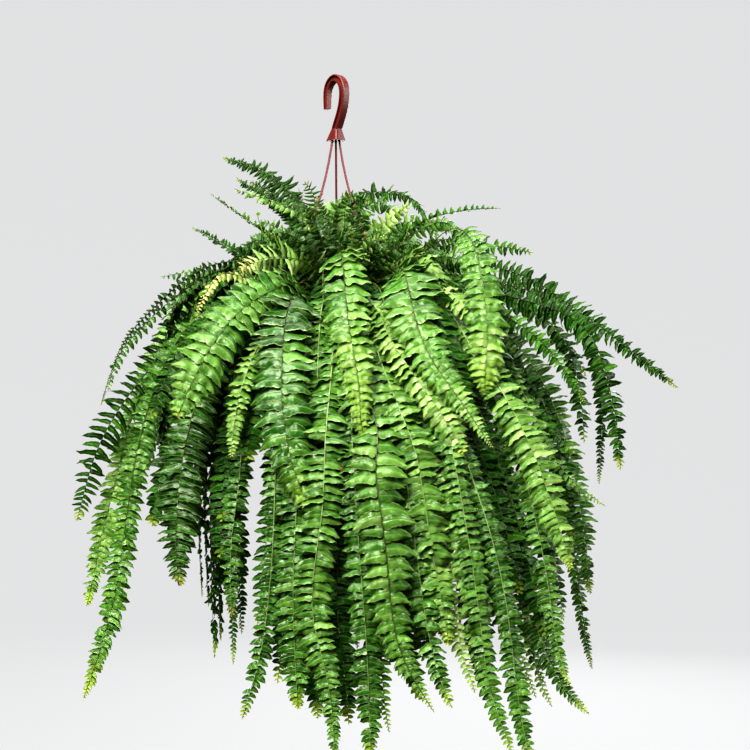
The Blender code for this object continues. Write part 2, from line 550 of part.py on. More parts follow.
pot_plastic = material("pot_plastic", (0.23, 0.05, 0.03), 0.5)
base_z = RIM_Z - POT_HEIGHT
t = FLANGE_THICK
pot = turned(
    "pot",
    [
        (POT_TOP_R - POT_WALL, RIM_Z), (FLANGE_R - 0.8, RIM_Z), (FLANGE_R, RIM_Z - 0.8), (FLANGE_R, RIM_Z - 7.5),
        (FLANGE_R - 1.8, RIM_Z - 7.5), (FLANGE_R - 1.8, RIM_Z - t), (POT_TOP_R, RIM_Z - t),
        (POT_TOP_R - 1.2, RIM_Z - 22), (POT_BASE_R + 1.4, base_z + 4), (POT_BASE_R, base_z), (0, base_z),
        (0, base_z + 3.0), (POT_BASE_R - POT_WALL - 0.6, base_z + 3.0), (POT_BASE_R - POT_WALL + 1.2, base_z + 6),
        (POT_TOP_R - POT_WALL - 1.2, RIM_Z - 22),
    ],
    44,
    pot_plastic,
)
for k, turn in enumerate(STRAND_TURNS):
    bm = bmesh.new()
    bmesh.ops.create_cone(bm, cap_ends=True, segments=12, radius1=SOCKET_R * MM, radius2=SOCKET_R * MM, depth=8 * MM)
    hole = as_cutter(add_mesh(f"clip_cutter_{k + 1}", bm, None, collection=HELPERS))
    at = math.radians(turn)
    hole.location = (CLIP_RING * math.cos(at) * MM, CLIP_RING * math.sin(at) * MM, RIM_Z * MM)
    boolean(pot, hole, "DIFFERENCE")
for k in range(DRAINS):
    bm = bmesh.new()
    bmesh.ops.create_cone(bm, cap_ends=True, segments=12, radius1=DRAIN_R * MM, radius2=DRAIN_R * MM, depth=12 * MM)
    hole = as_cutter(add_mesh(f"drain_cutter_{k + 1}", bm, None, collection=HELPERS))
    at = math.tau * (k + 0.5) / DRAINS
    hole.location = (DRAIN_RING * math.cos(at) * MM, DRAIN_RING * math.sin(at) * MM, base_z * MM)
    boolean(pot, hole, "DIFFERENCE")

soil = material("soil", (0.035, 0.022, 0.014), 0.95)


def inside_pot(z):
    """The pot's inner radius at this height."""
    low, high = base_z + 6, RIM_Z - 22
    k = (z - low) / (high - low)
    return (POT_BASE_R - POT_WALL + 1.2) + k * ((POT_TOP_R - POT_WALL - 1.2) - (POT_BASE_R - POT_WALL + 1.2))


turned(
    "potting_soil",
    [
        (0, SOIL_TOP), (CROWN_R + 6, SOIL_TOP), (inside_pot(RIM_Z - 22) - 2.2, SOIL_TOP - 1.5),
        (inside_pot(RIM_Z - 22) - GAP, RIM_Z - 22), (inside_pot(base_z + 6) - GAP, base_z + 6.4),
        (POT_BASE_R - POT_WALL - 1.4, base_z + 3 + GAP), (0, base_z + 3 + GAP),
    ],
    40,
    soil,
)

crown = material("crown", (0.07, 0.04, 0.02), 0.9)
dome = []
for k in range(8):
    a = math.pi / 2 * k / 8
    dome.append((CROWN_R * math.sin(a), SOIL_TOP + GAP + CROWN_HIGH * math.cos(a)))
turned("crown", [*dome, (CROWN_R, SOIL_TOP + GAP + 0.8), (CROWN_R - 1.5, SOIL_TOP + GAP), (0, SOIL_TOP + GAP)], 32, crown)

# ---- fronds -----------------------------------------------------------------------------------------------

rows = move_clear(midlines())

# A frond's solid runs straight between its sections, so its room is measured between those straight runs.
sections, fine, owner = [], [], []
for k, row in enumerate(rows):
    long = length_of(row["line"])
    count = max(7, min(STATIONS, int(long / 34)))
    knots = np.vstack([row["line"][:2], spaced(row["line"][1:], count)[1:]])
    sections.append(knots)
    runs = np.vstack([np.linspace(p, q, 12, endpoint=False) for p, q in zip(knots, knots[1:])] + [knots[-1:]])
    fine.append(runs)
    owner += [k] * len(runs)
every = np.vstack(fine).astype(np.float32)
owner = np.array(owner)
strand_points = np.vstack([spaced(strand_line(t), 160) for t in STRAND_TURNS]).astype(np.float32)

for k, row in enumerate(rows):
    mine = fine[k].astype(np.float32)
    others = every[owner != k]
    room = np.full(len(mine), 1e9, np.float32)
    for at in range(0, len(others), 2000):
        d = np.linalg.norm(mine[:, None] - others[None, at : at + 2000], axis=2).min(1)
        room = np.minimum(room, d / 2)
    d = np.linalg.norm(mine[:, None] - strand_points[None], axis=2).min(1)
    room = np.minimum(room, d - STRAND_R)
    radius = np.linalg.norm(mine[:, :2], axis=1)
    wall = np.array([radius[i] - pot_outside(z) if z < RIM_Z + 6 else 1e9 for i, z in enumerate(mine[:, 2])])
    room = np.minimum(room, np.where(wall > -50, wall, 1e9)) - 0.9
    knots = sections[k]
    tangent, side, up = frames_along(knots, row["face"])
    run = np.concatenate([[0], np.cumsum(np.linalg.norm(np.diff(knots, axis=0), axis=1))])
    stalk = min(0.22 * run[-1], 95.0)
    bm = bmesh.new()
    rings = []
    for j, at in enumerate(knots):
        near = room[max(0, (j - 1) * 12) : (j + 1) * 12 + 1].min()
        s = (run[j] - stalk) / (run[-1] - stalk)
        if s <= 0.0:
            w, e, h = STALK_R, STALK_R * 0.55, STALK_R
        else:
            shape = min(1.0, (s / 0.12) ** 0.7) * (1 - 0.35 * s) * min(1.0, ((1 - s) / 0.3) ** 0.7 if s > 0.7 else 1.0)
            w, e, h = max(1.1, min(row["wide"] * shape, near)), BLADE_EDGE, BLADE_RIDGE
        if j == len(knots) - 1:
            w, e, h = 0.9, 0.3, 0.45
        offsets = [(w, e), (0, h), (-w, e), (-w, -e), (0, -h), (w, -e)]
        rings.append(
            [bm.verts.new(tuple((at + side[j] * x + up[j] * y) * MM)) for x, y in offsets]
        )
    for low, high in zip(rings, rings[1:]):
        for i in range(6):
            bm.faces.new((low[i], low[(i + 1) % 6], high[(i + 1) % 6], high[i]))
    bm.faces.new(rings[0][::-1])
    bm.faces.new(rings[-1])
    bmesh.ops.recalc_face_normals(bm, faces=bm.faces)
    green = (0.05, 0.16, 0.03) if row["face"] < 0.4 else (0.08, 0.24, 0.04)
    add_mesh(row["name"], bm, material(row["name"], green, 0.45))
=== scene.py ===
"""Boston fern in a hanging basket: the looks.

Every frond is a mesh of its own: a tapering rachis with two rows of leaflets, each leaflet a curved sheet with
an eared base, a scalloped wavy edge and a sunk midrib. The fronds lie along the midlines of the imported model.
"""

import math

import bpy
import numpy as np
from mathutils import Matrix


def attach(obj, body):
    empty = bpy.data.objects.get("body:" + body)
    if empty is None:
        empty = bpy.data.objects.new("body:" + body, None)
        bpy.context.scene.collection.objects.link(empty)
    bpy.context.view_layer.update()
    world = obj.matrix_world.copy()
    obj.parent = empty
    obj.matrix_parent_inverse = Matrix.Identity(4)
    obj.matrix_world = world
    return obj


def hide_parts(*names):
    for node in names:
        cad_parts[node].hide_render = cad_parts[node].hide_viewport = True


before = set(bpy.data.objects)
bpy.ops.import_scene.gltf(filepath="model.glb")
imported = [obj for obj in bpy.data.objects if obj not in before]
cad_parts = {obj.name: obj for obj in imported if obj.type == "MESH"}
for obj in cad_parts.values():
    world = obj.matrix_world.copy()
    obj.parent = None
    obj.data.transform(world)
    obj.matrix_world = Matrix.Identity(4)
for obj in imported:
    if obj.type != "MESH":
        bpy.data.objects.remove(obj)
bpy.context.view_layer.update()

MM = 0.001
RIM_Z = -297.0
POT_TOP_R = 96.0
FLANGE_R = 107.0
FLANGE_THICK = 2.6
POT_BASE_R = 71.0
POT_HEIGHT = 140.0
CLIP_RING = 101.8
FOOT_BOTTOM = -68.0
STRAND_R = 1.25
STRAND_RING = 4.6
STRAND_TURNS = (210.0, 330.0, 90.0)
SOIL_TOP = -305.0
CROWN_R, CROWN_HIGH = 66.0, 34.0
GAP = 0.3

# ---- frond core: the same block stands in part.py and scene.py --------------------------------------------

VIEW_SCALE, VIEW_FAR = 1.15, 1500.0  # mm per unit of the front elevation on the pot's axis; mm to the eye
VIEW_MID, VIEW_AXIS = (375.0, 375.0), (45.0, -337.0)


def placed(u, v, depth):
    """The point drawn at (u, v) on the front elevation, depth mm behind the pot's axis, in mm."""
    k = VIEW_SCALE * (VIEW_FAR + depth) / VIEW_FAR
    return np.array(
        [VIEW_AXIS[0] + (u - VIEW_MID[0]) * k, depth, VIEW_AXIS[1] - (v - VIEW_MID[1]) * k]
    )


# Each frond: name, half-width of its blade in mm, how far it twists to face the front (0 to 1), how far out on
# the crown it grows (0 to 1), and the points its midline is drawn through, as (u, v, depth).
DRAWN = [
    ("frond_top_01", 17, 0.5, 0.3, [(318, 268, 6), (307, 220, 26), (295, 199, 44), (279, 181, 60), (263, 169, 72), (244, 162, 82), (223, 158, 90)]),
    ("frond_top_02", 14, 0.5, 0.4, [(316, 272, -8), (306, 228, 4), (290, 210, 14), (269, 198, 22), (250, 187, 28), (236, 178, 32)]),
    ("frond_top_03", 11, 0.3, 0.5, [(304, 284, -24), (282, 248, -34), (260, 229, -40), (247, 220, -43), (228, 207, -46), (210, 194, -48)]),
    ("frond_top_04", 10, 0.55, 0.6, [(290, 284, 10), (262, 266, 20), (241, 255, 26), (221, 243, 30), (209, 234, 33), (192, 228, 36)]),
    ("frond_top_05", 15, 0.6, 0.4, [(343, 262, 34), (348, 200, 62), (371, 191, 70), (395, 191, 72), (415, 195, 70), (425, 208, 66), (429, 224, 62)]),
    ("frond_top_06", 11, 0.7, 0.3, [(352, 276, -14), (368, 236, -18), (387, 219, -18), (411, 203, -16)]),
    ("frond_top_08", 13, 0.5, 0.2, [(318, 262, 50), (317, 222, 72), (320, 196, 84), (316, 184, 84), (304, 182, 80)]),
    ("frond_left_01", 12, 0.45, 0.7, [(262, 264, 0), (215, 262, 12), (175, 287, 16), (149, 314, 18), (124, 337, 18), (115, 362, 18), (108, 381, 18), (101, 405, 18)]),
    ("frond_left_02", 23, 0.8, 0.8, [(258, 288, 36), (210, 288, 40), (175, 332, 38), (158, 359, 36), (137, 384, 32), (120, 407, 28), (106, 430, 25), (95, 453, 22), (87, 482, 20), (77, 521, 18)]),
    ("frond_left_03", 27, 0.75, 0.5, [(310, 286, -88), (290, 284, -120), (270, 290, -140), (248, 303, -155), (229, 320, -170), (214, 341, -181), (202, 362, -187), (191, 384, -191), (183, 402, -193), (177, 418, -194)]),
    ("frond_left_04", 18, 0.85, 0.4, [(330, 276, -52), (314, 264, -66), (290, 258, -84), (267, 257, -96), (248, 261, -104), (239, 271, -108)]),
    ("frond_left_05", 15, 0.7, 0.7, [(300, 300, -96), (272, 320, -136), (254, 354, -168), (244, 378, -180), (237, 403, -187), (233, 428, -191), (231, 458, -193)]),
    ("frond_left_06", 27, 0.75, 0.7, [(272, 296, -62), (228, 324, -92), (206, 366, -110), (195, 406, -119), (184, 449, -126), (178, 500, -130), (175, 542, -131), (179, 586, -130)]),
    ("frond_left_07", 19, 0.8, 0.9, [(256, 290, 66), (196, 300, 70), (155, 360, 64), (130, 424, 56), (114, 490, 50), (104, 526, 47), (96, 565, 45), (87, 606, 43)]),
    ("frond_left_08", 17, 0.8, 0.9, [(244, 296, -22), (190, 322, -32), (156, 384, -36), (136, 456, -38), (124, 536, -40), (117, 584, -41), (110, 618, -42), (98, 657, -43), (84, 698, -44)]),
    ("frond_left_09", 14, 0.8, 0.9, [(284, 306, -90), (256, 356, -128), (243, 416, -144), (241, 469, -150), (237, 502, -151), (231, 536, -152), (230, 570, -152), (232, 620, -152)]),
    ("frond_left_10", 13, 0.8, 0.9, [(300, 312, -106), (282, 384, -160), (276, 460, -180), (274, 520, -187), (272, 565, -190), (268, 603, -192), (262, 651, -194), (242, 719, -196)]),
    ("frond_front_01", 27, 0.9, 0.3, [(338, 266, -64), (339, 247, -94), (341, 246, -114), (344, 276, -144), (348, 322, -182), (354, 355, -200), (362, 395, -214), (369, 437, -221)]),
    ("frond_front_02", 33, 0.85, 0.5, [(308, 296, -100), (296, 288, -130), (289, 296, -148), (284, 330, -170), (281, 385, -198), (284, 427, -209), (293, 470, -217), (311, 510, -222)]),
    ("frond_front_03", 32, 0.9, 0.5, [(386, 278, -80), (398, 263, -110), (403, 264, -128), (409, 290, -154), (417, 328, -181), (430, 359, -196), (444, 379, -205), (460, 399, -212), (478, 427, -218), (493, 449, -222)]),
    ("frond_front_04", 28, 0.8, 0.6, [(354, 300, -106), (361, 372, -186), (371, 448, -228), (376, 484, -238), (382, 520, -243), (387, 559, -246), (390, 599, -248), (394, 632, -249), (402, 660, -250), (418, 687, -251), (434, 712, -252)]),
    ("frond_front_05", 19, 0.7, 0.7, [(402, 296, -96), (427, 366, -166), (447, 460, -206), (459, 512, -216), (468, 551, -220), (474, 591, -223), (479, 645, -225), (485, 677, -226)]),
    ("frond_front_06", 21, 0.75, 0.5, [(364, 290, -96), (376, 352, -168), (389, 380, -188), (400, 408, -202), (410, 443, -213), (416, 476, -219), (422, 505, -223), (428, 535, -226), (435, 567, -228), (443, 607, -229), (449, 646, -230)]),
    ("frond_front_07", 24, 0.8, 0.8, [(332, 304, -112), (328, 376, -182), (325, 440, -212), (323, 504, -226), (317, 548, -231), (311, 591, -234), (312, 624, -235), (322, 655, -236), (330, 692, -237), (334, 738, -237), (335, 772, -237)]),
    ("frond_front_08", 20, 0.8, 0.9, [(312, 310, -116), (303, 390, -182), (299, 450, -202), (297, 504, -212), (294, 553, -217), (293, 604, -219), (295, 660, -220), (298, 709, -220)]),
    ("frond_front_09", 17, 0.8, 0.6, [(328, 300, -112), (321, 346, -160), (320, 387, -184), (323, 419, -194), (327, 455, -199), (329, 486, -202)]),
    ("frond_front_10", 18, 0.7, 0.8, [(418, 304, -82), (446, 386, -152), (470, 489, -186), (486, 532, -194), (495, 566, -197), (503, 602, -199), (506, 642, -200)]),
    ("frond_right_01", 10, 0.35, 0.4, [(372, 270, 14), (408, 230, 30), (440, 214, 38), (464, 211, 43), (487, 207, 46), (501, 209, 48)]),
    ("frond_right_02", 12, 0.9, 0.5, [(384, 276, 34), (428, 248, 60), (458, 244, 72), (482, 245, 80), (507, 247, 86), (533, 253, 90)]),
    ("frond_right_03", 16, 0.85, 0.6, [(405, 280, -6), (447, 262, -16), (488, 265, -22), (516, 272, -25), (540, 283, -27), (562, 299, -29), (586, 317, -31), (612, 336, -33), (637, 356, -34), (660, 374, -35), (678, 388, -36)]),
    ("frond_right_04", 18, 0.8, 0.7, [(418, 288, -44), (458, 284, -64), (499, 294, -74), (530, 302, -79), (554, 308, -82), (577, 318, -84), (594, 336, -85), (604, 365, -86), (612, 400, -86), (619, 435, -86), (620, 470, -86)]),
    ("frond_right_05", 21, 0.9, 0.5, [(418, 262, -50), (440, 232, -72), (458, 222, -90), (470, 232, -106), (478, 256, -122), (484, 288, -138), (487, 318, -150), (488, 352, -160), (488, 393, -166)]),
    ("frond_right_06", 15, 0.8, 0.7, [(440, 294, -66), (476, 302, -92), (506, 316, -107), (531, 331, -114), (550, 349, -118), (564, 368, -120), (577, 387, -121), (585, 403, -122)]),
    ("frond_right_07", 21, 0.8, 0.7, [(440, 302, -96), (470, 345, -142), (495, 387, -168), (514, 412, -177), (527, 438, -182), (538, 464, -185), (547, 490, -187), (555, 513, -188), (562, 537, -188), (571, 569, -188)]),
    ("frond_right_08", 14, 0.8, 0.7, [(430, 284, 26), (500, 282, 30), (560, 306, 28), (590, 342, 24), (601, 383, 20), (603, 421, 18), (601, 451, 17), (599, 484, 16)]),
    ("frond_right_09", 11, 0.6, 0.9, [(446, 304, -70), (498, 352, -108), (530, 406, -124), (549, 450, -130), (566, 478, -133), (585, 493, -134), (605, 506, -134)]),
    ("frond_right_10", 19, 0.7, 0.9, [(440, 300, -20), (508, 334, -40), (547, 390, -50), (566, 440, -54), (577, 490, -57), (586, 545, -59), (590, 594, -60)]),
    ("frond_right_11", 13, 0.7, 1.0, [(436, 312, 30), (508, 356, 44), (548, 432, 44), (569, 520, 38), (580, 600, 32), (586, 640, 30), (592, 669, 30)]),
    ("frond_right_12", 14, 0.8, 0.9, [(430, 312, -90), (488, 384, -142), (522, 470, -162), (540, 540, -168), (550, 598, -171), (557, 650, -172), (568, 687, -172)]),
    ("frond_low_01", 14, 0.8, 1.0, [(424, 316, -62), (474, 398, -126), (506, 484, -150), (523, 560, -158), (536, 628, -161), (549, 663, -162), (566, 692, -163), (589, 714, -163)]),
    ("frond_low_02", 14, 0.8, 1.0, [(404, 316, -100), (446, 410, -176), (480, 500, -206), (500, 570, -214), (509, 622, -217), (514, 667, -218), (520, 713, -219), (531, 766, -219)]),
    ("frond_low_03", 15, 0.8, 0.9, [(384, 306, -112), (404, 410, -198), (412, 500, -222), (420, 580, -231), (429, 640, -234), (438, 676, -235), (452, 708, -236)]),
    ("frond_low_04", 17, 0.8, 1.0, [(348, 310, -118), (352, 420, -204), (357, 520, -224), (363, 600, -230), (367, 650, -232), (369, 705, -233), (371, 762, -233)]),
]

# Fronds on the far side and the flanks, drawn by rule: name, half-width, compass turn in degrees (0 right,
# 90 back), reach, height of the arch above the crown, drop of the tip below the crown, and sideways sweep in
# degrees from root to tip.
RULED = [
    ("frond_back_01", 26, 64.0, 238.0, 118.0, 300.0, 10.0),
    ("frond_back_02", 24, 93.0, 250.0, 106.0, 392.0, -8.0),
    ("frond_back_03", 25, 121.0, 244.0, 112.0, 268.0, 8.0),
    ("frond_back_04", 22, 30.0, 262.0, 74.0, 236.0, 12.0),
    ("frond_back_05", 22, 152.0, 258.0, 62.0, 330.0, -12.0),
    ("frond_back_06", 20, 78.0, 196.0, 146.0, 90.0, -10.0),
    ("frond_back_07", 20, 106.0, 190.0, 152.0, 60.0, 12.0),
    ("frond_back_08", 18, 138.0, 176.0, 112.0, 150.0, -14.0),
    ("frond_back_09", 18, 48.0, 180.0, 120.0, 130.0, 14.0),
]


def crown_at(r):
    """Height of the crown's surface above the soil at this radius, and the outward normal as (out, up)."""
    k = math.sqrt(max(1 - (r / CROWN_R) ** 2, 1e-6))
    normal = np.array([r / CROWN_R**2, k / CROWN_HIGH])
    return CROWN_HIGH * k, normal / np.linalg.norm(normal)


def smooth_line(points, step):
    """Points every step mm along a centripetal Catmull-Rom curve through these ones."""
    p = np.array(points, float)
    p = np.vstack([2 * p[0] - p[1], p, 2 * p[-1] - p[-2]])
    fine = []
    for a, b, c, d in zip(p[:-3], p[1:-2], p[2:-1], p[3:]):
        t1 = max(np.linalg.norm(b - a), 1e-6) ** 0.5
        t2 = t1 + max(np.linalg.norm(c - b), 1e-6) ** 0.5
        t3 = t2 + max(np.linalg.norm(d - c), 1e-6) ** 0.5
        t = np.linspace(t1, t2, 16, endpoint=False)[:, None]
        ab = (t1 - t) / t1 * a + t / t1 * b
        bc = (t2 - t) / (t2 - t1) * b + (t - t1) / (t2 - t1) * c
        cd = (t3 - t) / (t3 - t2) * c + (t - t2) / (t3 - t2) * d
        abc = (t2 - t) / t2 * ab + t / t2 * bc
        bcd = (t3 - t) / (t3 - t1) * bc + (t - t1) / (t3 - t1) * cd
        fine.append((t2 - t) / (t2 - t1) * abc + (t - t1) / (t2 - t1) * bcd)
    fine = np.vstack([*fine, p[-2:-1]])
    return spaced(fine, max(int(round(length_of(fine) / step)), 4) + 1)


def length_of(line):
    return float(np.linalg.norm(np.diff(line, axis=0), axis=1).sum())


def spaced(line, count):
    """This many points evenly along a line."""
    run = np.concatenate([[0], np.cumsum(np.linalg.norm(np.diff(line, axis=0), axis=1))])
    at = np.linspace(0, run[-1], count)
    return np.stack([np.interp(at, run, line[:, k]) for k in range(3)], 1)


def ruled_points(turn, reach, rise, drop, sweep):
    """Points of a frond that rises from the crown, arches over the rim and hangs."""
    top = SOIL_TOP + CROWN_HIGH
    steps = [
        (0.42, 0.86 * rise, 0.1),
        (0.66, rise, 0.25),
        (0.86, 0.62 * rise, 0.45),
        (0.97, -0.05 * drop, 0.62),
        (1.0, -0.45 * drop, 0.8),
        (0.985, -0.75 * drop, 0.92),
        (0.96, -drop, 1.0),
    ]
    found = []
    for out, up, way in steps:
        a = math.radians(turn + sweep * (way - 0.4))
        found.append([reach * out * math.cos(a), reach * out * math.sin(a), top + up])
    return found


def crown_seats(count, reach=56.0):
    """Evenly spread places on the crown, as a sunflower's seeds lie."""
    return [
        np.array([math.cos(k * 2.39996), math.sin(k * 2.39996)]) * reach * math.sqrt((k + 0.5) / count)
        for k in range(count)
    ]


def wished_seat(row):
    """Where on the crown a frond would grow from, to leave it without crossing the others."""
    first = np.array(row["points"][0][:2])
    later = np.array(row["points"][min(2, len(row["points"]) - 1)][:2])
    way = 0.5 * first / max(np.linalg.norm(first), 1) + 0.5 * later / max(np.linalg.norm(later), 1)
    return way / max(np.linalg.norm(way), 1e-6) * (8 + 46 * row["out"])


def seat_all(rows):
    """Gives each frond a seat of its own, swapping seats while that brings them nearer to their wishes."""
    seats = crown_seats(len(rows))
    wishes = [wished_seat(row) for row in rows]
    cost = np.array([[float(((seat - wish) ** 2).sum()) for seat in seats] for wish in wishes])
    chosen = list(range(len(rows)))
    for _ in range(40):
        better = False
        for i in range(len(rows)):
            for j in range(i):
                a, b = chosen[i], chosen[j]
                if cost[i, b] + cost[j, a] < cost[i, a] + cost[j, b] - 1e-9:
                    chosen[i], chosen[j] = b, a
                    better = True
        if not better:
            break
    for row, k in zip(rows, chosen):
        row["seat"] = seats[k]


def rooted(row):
    """The midline's points from the crown on, leaving it square to its surface."""
    seat = row["seat"]
    r = float(np.linalg.norm(seat))
    high, normal = crown_at(r)
    up = np.array([*(seat / max(r, 1e-6) * normal[0]), normal[1]])
    root = np.array([*seat, SOIL_TOP + GAP + high]) + up * GAP
    head = root + up * 9.0
    goal = np.array(row["points"][0], float)
    lift = goal - head
    bend = head + lift * np.array([0.36, 0.36, 0.58]) + np.array([0, 0, 0.06 * np.linalg.norm(lift)])
    return root, head, [bend, *row["points"]]


def midlines():
    """Every frond's midline, as points about 9 mm apart, before they are moved clear of each other."""
    rows = [
        {"name": n, "wide": w, "face": f, "out": o, "points": [placed(*p) for p in pts]}
        for n, w, f, o, pts in DRAWN
    ] + [
        {"name": n, "wide": w, "face": 0.0, "out": 0.75 if rise < 125 else 0.35, "points": ruled_points(t, reach, rise, drop, sweep)}
        for n, w, t, reach, rise, drop, sweep in RULED
    ]
    seat_all(rows)
    for row in rows:
        root, head, rest = rooted(row)
        row["line"] = np.vstack([root[None], smooth_line([head, *rest], 9.0)])
    return rows


def strand_line(turn):
    """A strand's midline from inside the hook's foot to its clip under the flange, in mm."""
    a = math.radians(turn)
    low, high = RIM_Z + 9.0, FOOT_BOTTOM
    found = [(STRAND_RING, FOOT_BOTTOM + 6.0), (STRAND_RING, FOOT_BOTTOM + 1.0)]
    for k in range(13):
        s = (k + 0.4) / 12.6
        r = STRAND_RING + (CLIP_RING - STRAND_RING) * (0.34 * s + 0.66 * s * s)
        found.append((r, high + (low - high) * s))
    found += [(CLIP_RING, RIM_Z + 6.0), (CLIP_RING, RIM_Z - FLANGE_THICK - 0.6)]
    return np.array([[r * math.cos(a), r * math.sin(a), z] for r, z in found])


def pot_outside(z):
    """The pot's outer radius at this height, flange included."""
    if z > RIM_Z - FLANGE_THICK - 8:
        return FLANGE_R
    k = (RIM_Z - z) / POT_HEIGHT
    return POT_TOP_R + (POT_BASE_R - POT_TOP_R) * min(k, 1.0)


def move_clear(rows, least=15.0, rounds=96):
    """Moves the midlines apart where they crowd, and off the strands, the pot and the crown."""
    lines = [row["line"] for row in rows]
    count = [len(x) for x in lines]
    owner = np.repeat(np.arange(len(lines)), count)
    start = np.concatenate([[0], np.cumsum(count)])
    along = np.concatenate([np.arange(n) for n in count]) * 9.0
    free = np.clip((along - 14.0) / 60.0, 0, 1)
    fixed = np.vstack([spaced(strand_line(t), 60) for t in STRAND_TURNS])
    p = np.vstack(lines)
    n = len(p)
    everything = np.vstack([p, fixed])
    whose = np.concatenate([owner, np.full(len(fixed), -1)])
    for turn in range(rounds):
        if turn % 8 == 0:
            everything[:n] = p
            gap = np.empty((n, len(everything)), np.float32)
            for k in range(3):
                d = p[:, k, None].astype(np.float32) - everything[None, :, k].astype(np.float32)
                gap = d * d if k == 0 else gap + d * d
            near = (gap < (least + 22.0) ** 2) & (owner[:, None] != whose[None, :])
            first, second = np.nonzero(near)
        everything[:n] = p
        apart = p[first] - everything[second]
        tangent = np.gradient(p, axis=0)
        tangent /= np.maximum(np.linalg.norm(tangent, axis=1), 1e-6)[:, None]
        across = apart - (apart * tangent[first]).sum(1)[:, None] * tangent[first]
        size = np.linalg.norm(apart, axis=1)
        width = np.maximum(np.linalg.norm(across, axis=1), 0.5)
        share = np.where(second >= n, 1.0, 0.5)
        want = np.where(second >= n, least * 0.75, least)
        push = np.clip(want - size, 0, None) * share
        step = np.zeros((n, 3))
        weight = np.zeros(n)
        hit = push > 0
        for k in range(3):
            step[:, k] = np.bincount(first[hit], across[hit, k] / width[hit] * push[hit], n)
        weight[:] = np.bincount(first[hit], None, n)
        step /= np.maximum(weight, 1)[:, None] ** 0.5
        radius = np.linalg.norm(p[:, :2], axis=1)
        out = np.array([pot_outside(z) for z in p[:, 2]]) + 12.0
        inside = (p[:, 2] < RIM_Z + 10) & (radius < out) & (along > 90)
        step[inside, :2] += p[inside, :2] / np.maximum(radius[inside], 1)[:, None] * (out - radius)[inside, None] * 0.5
        floor = SOIL_TOP + CROWN_HIGH * np.sqrt(np.clip(1 - (radius / CROWN_R) ** 2, 0, 1)) + 6.0
        floor = np.where(radius < FLANGE_R + 4, np.maximum(floor, RIM_Z + 9.0), -1e9)
        low = (p[:, 2] < floor) & (along > 20) & ~inside
        step[low, 2] += (floor - p[:, 2])[low] * 0.5
        for k in range(len(lines)):
            part = step[start[k] : start[k + 1]]
            for _ in range(3):
                part[1:-1] = 0.5 * part[1:-1] + 0.25 * (part[:-2] + part[2:])
        p = p + step * free[:, None]
        for k in range(len(lines)):
            part = p[start[k] : start[k + 1]]
            soft = 0.25 * (part[:-2] + part[2:]) + 0.5 * part[1:-1]
            part[2:-1] += 0.12 * (soft - part[1:-1])[1:]
    for k, row in enumerate(rows):
        row["line"] = p[start[k] : start[k + 1]]
    return rows


def frames_along(line, face):
    """The tangent, side and upper normal at each point of a midline. face turns the blade to the front."""
    tangent = np.gradient(line, axis=0)
    tangent /= np.linalg.norm(tangent, axis=1)[:, None]
    span = line[int(len(line) * 0.75)] - line[0]
    way = np.array([span[0], span[1], 0.0])
    way /= max(np.linalg.norm(way), 1e-6)
    side0 = np.cross([0, 0, 1.0], way)
    up = np.cross(tangent, side0)
    up /= np.maximum(np.linalg.norm(up, axis=1), 1e-6)[:, None]
    share = face * np.clip((np.linspace(0, 1, len(line)) - 0.08) / 0.24, 0, 1)[:, None]
    up = (1 - share) * up + share * np.array([0, -1.0, 0])
    up -= (up * tangent).sum(1)[:, None] * tangent
    up /= np.maximum(np.linalg.norm(up, axis=1), 1e-6)[:, None]
    for k in range(1, len(up)):
        if (up[k] * up[k - 1]).sum() < 0:
            up[k] = -up[k]
    side = np.cross(up, tangent)
    return tangent, side, up


# ---- end of the frond core

# ---- leaflets ---------------------------------------------------------------------------------------------

# Greens from the darkest to the palest, linear, and how far along the scale each stands
GREENS = np.array(
    [
        (0.008, 0.045, 0.004),
        (0.022, 0.105, 0.006),
        (0.068, 0.192, 0.019),
        (0.150, 0.308, 0.050),
        (0.295, 0.445, 0.120),
        (0.470, 0.580, 0.230),
    ]
)
YELLOW = np.array((0.46, 0.56, 0.05))
CREAM = np.array((0.62, 0.56, 0.20))
BROWN = np.array((0.16, 0.075, 0.025))
RACHIS = np.array((0.13, 0.18, 0.045))
STALK = np.array((0.085, 0.05, 0.02))


def green(tone):
    """The leaf colour at a tone from 0, darkest, to 5, palest."""
    tone = np.clip(tone, 0, 5)
    return np.stack([np.interp(tone, range(6), GREENS[:, k]) for k in range(3)], -1)


def unit(v):
    return v / np.maximum(np.linalg.norm(v, axis=-1), 1e-9)[..., None]


def at_run(run, values, s):
    """values, given at run, read at s."""
    return np.stack([np.interp(s, run, values[:, k]) for k in range(values.shape[1])], -1)


def length_share(s, style):
    """A leaflet's length as a share of the longest, s from 0 at the first leaflets to 1 at the frond's tip."""
    root = style["root"] + (1 - style["root"]) * np.clip(s / style["root_run"], 0, 1) ** 0.8
    tip = np.clip((1 - s) / (1 - style["full"]), 0, 1) ** style["taper"]
    return np.maximum(root * tip, 0.0)


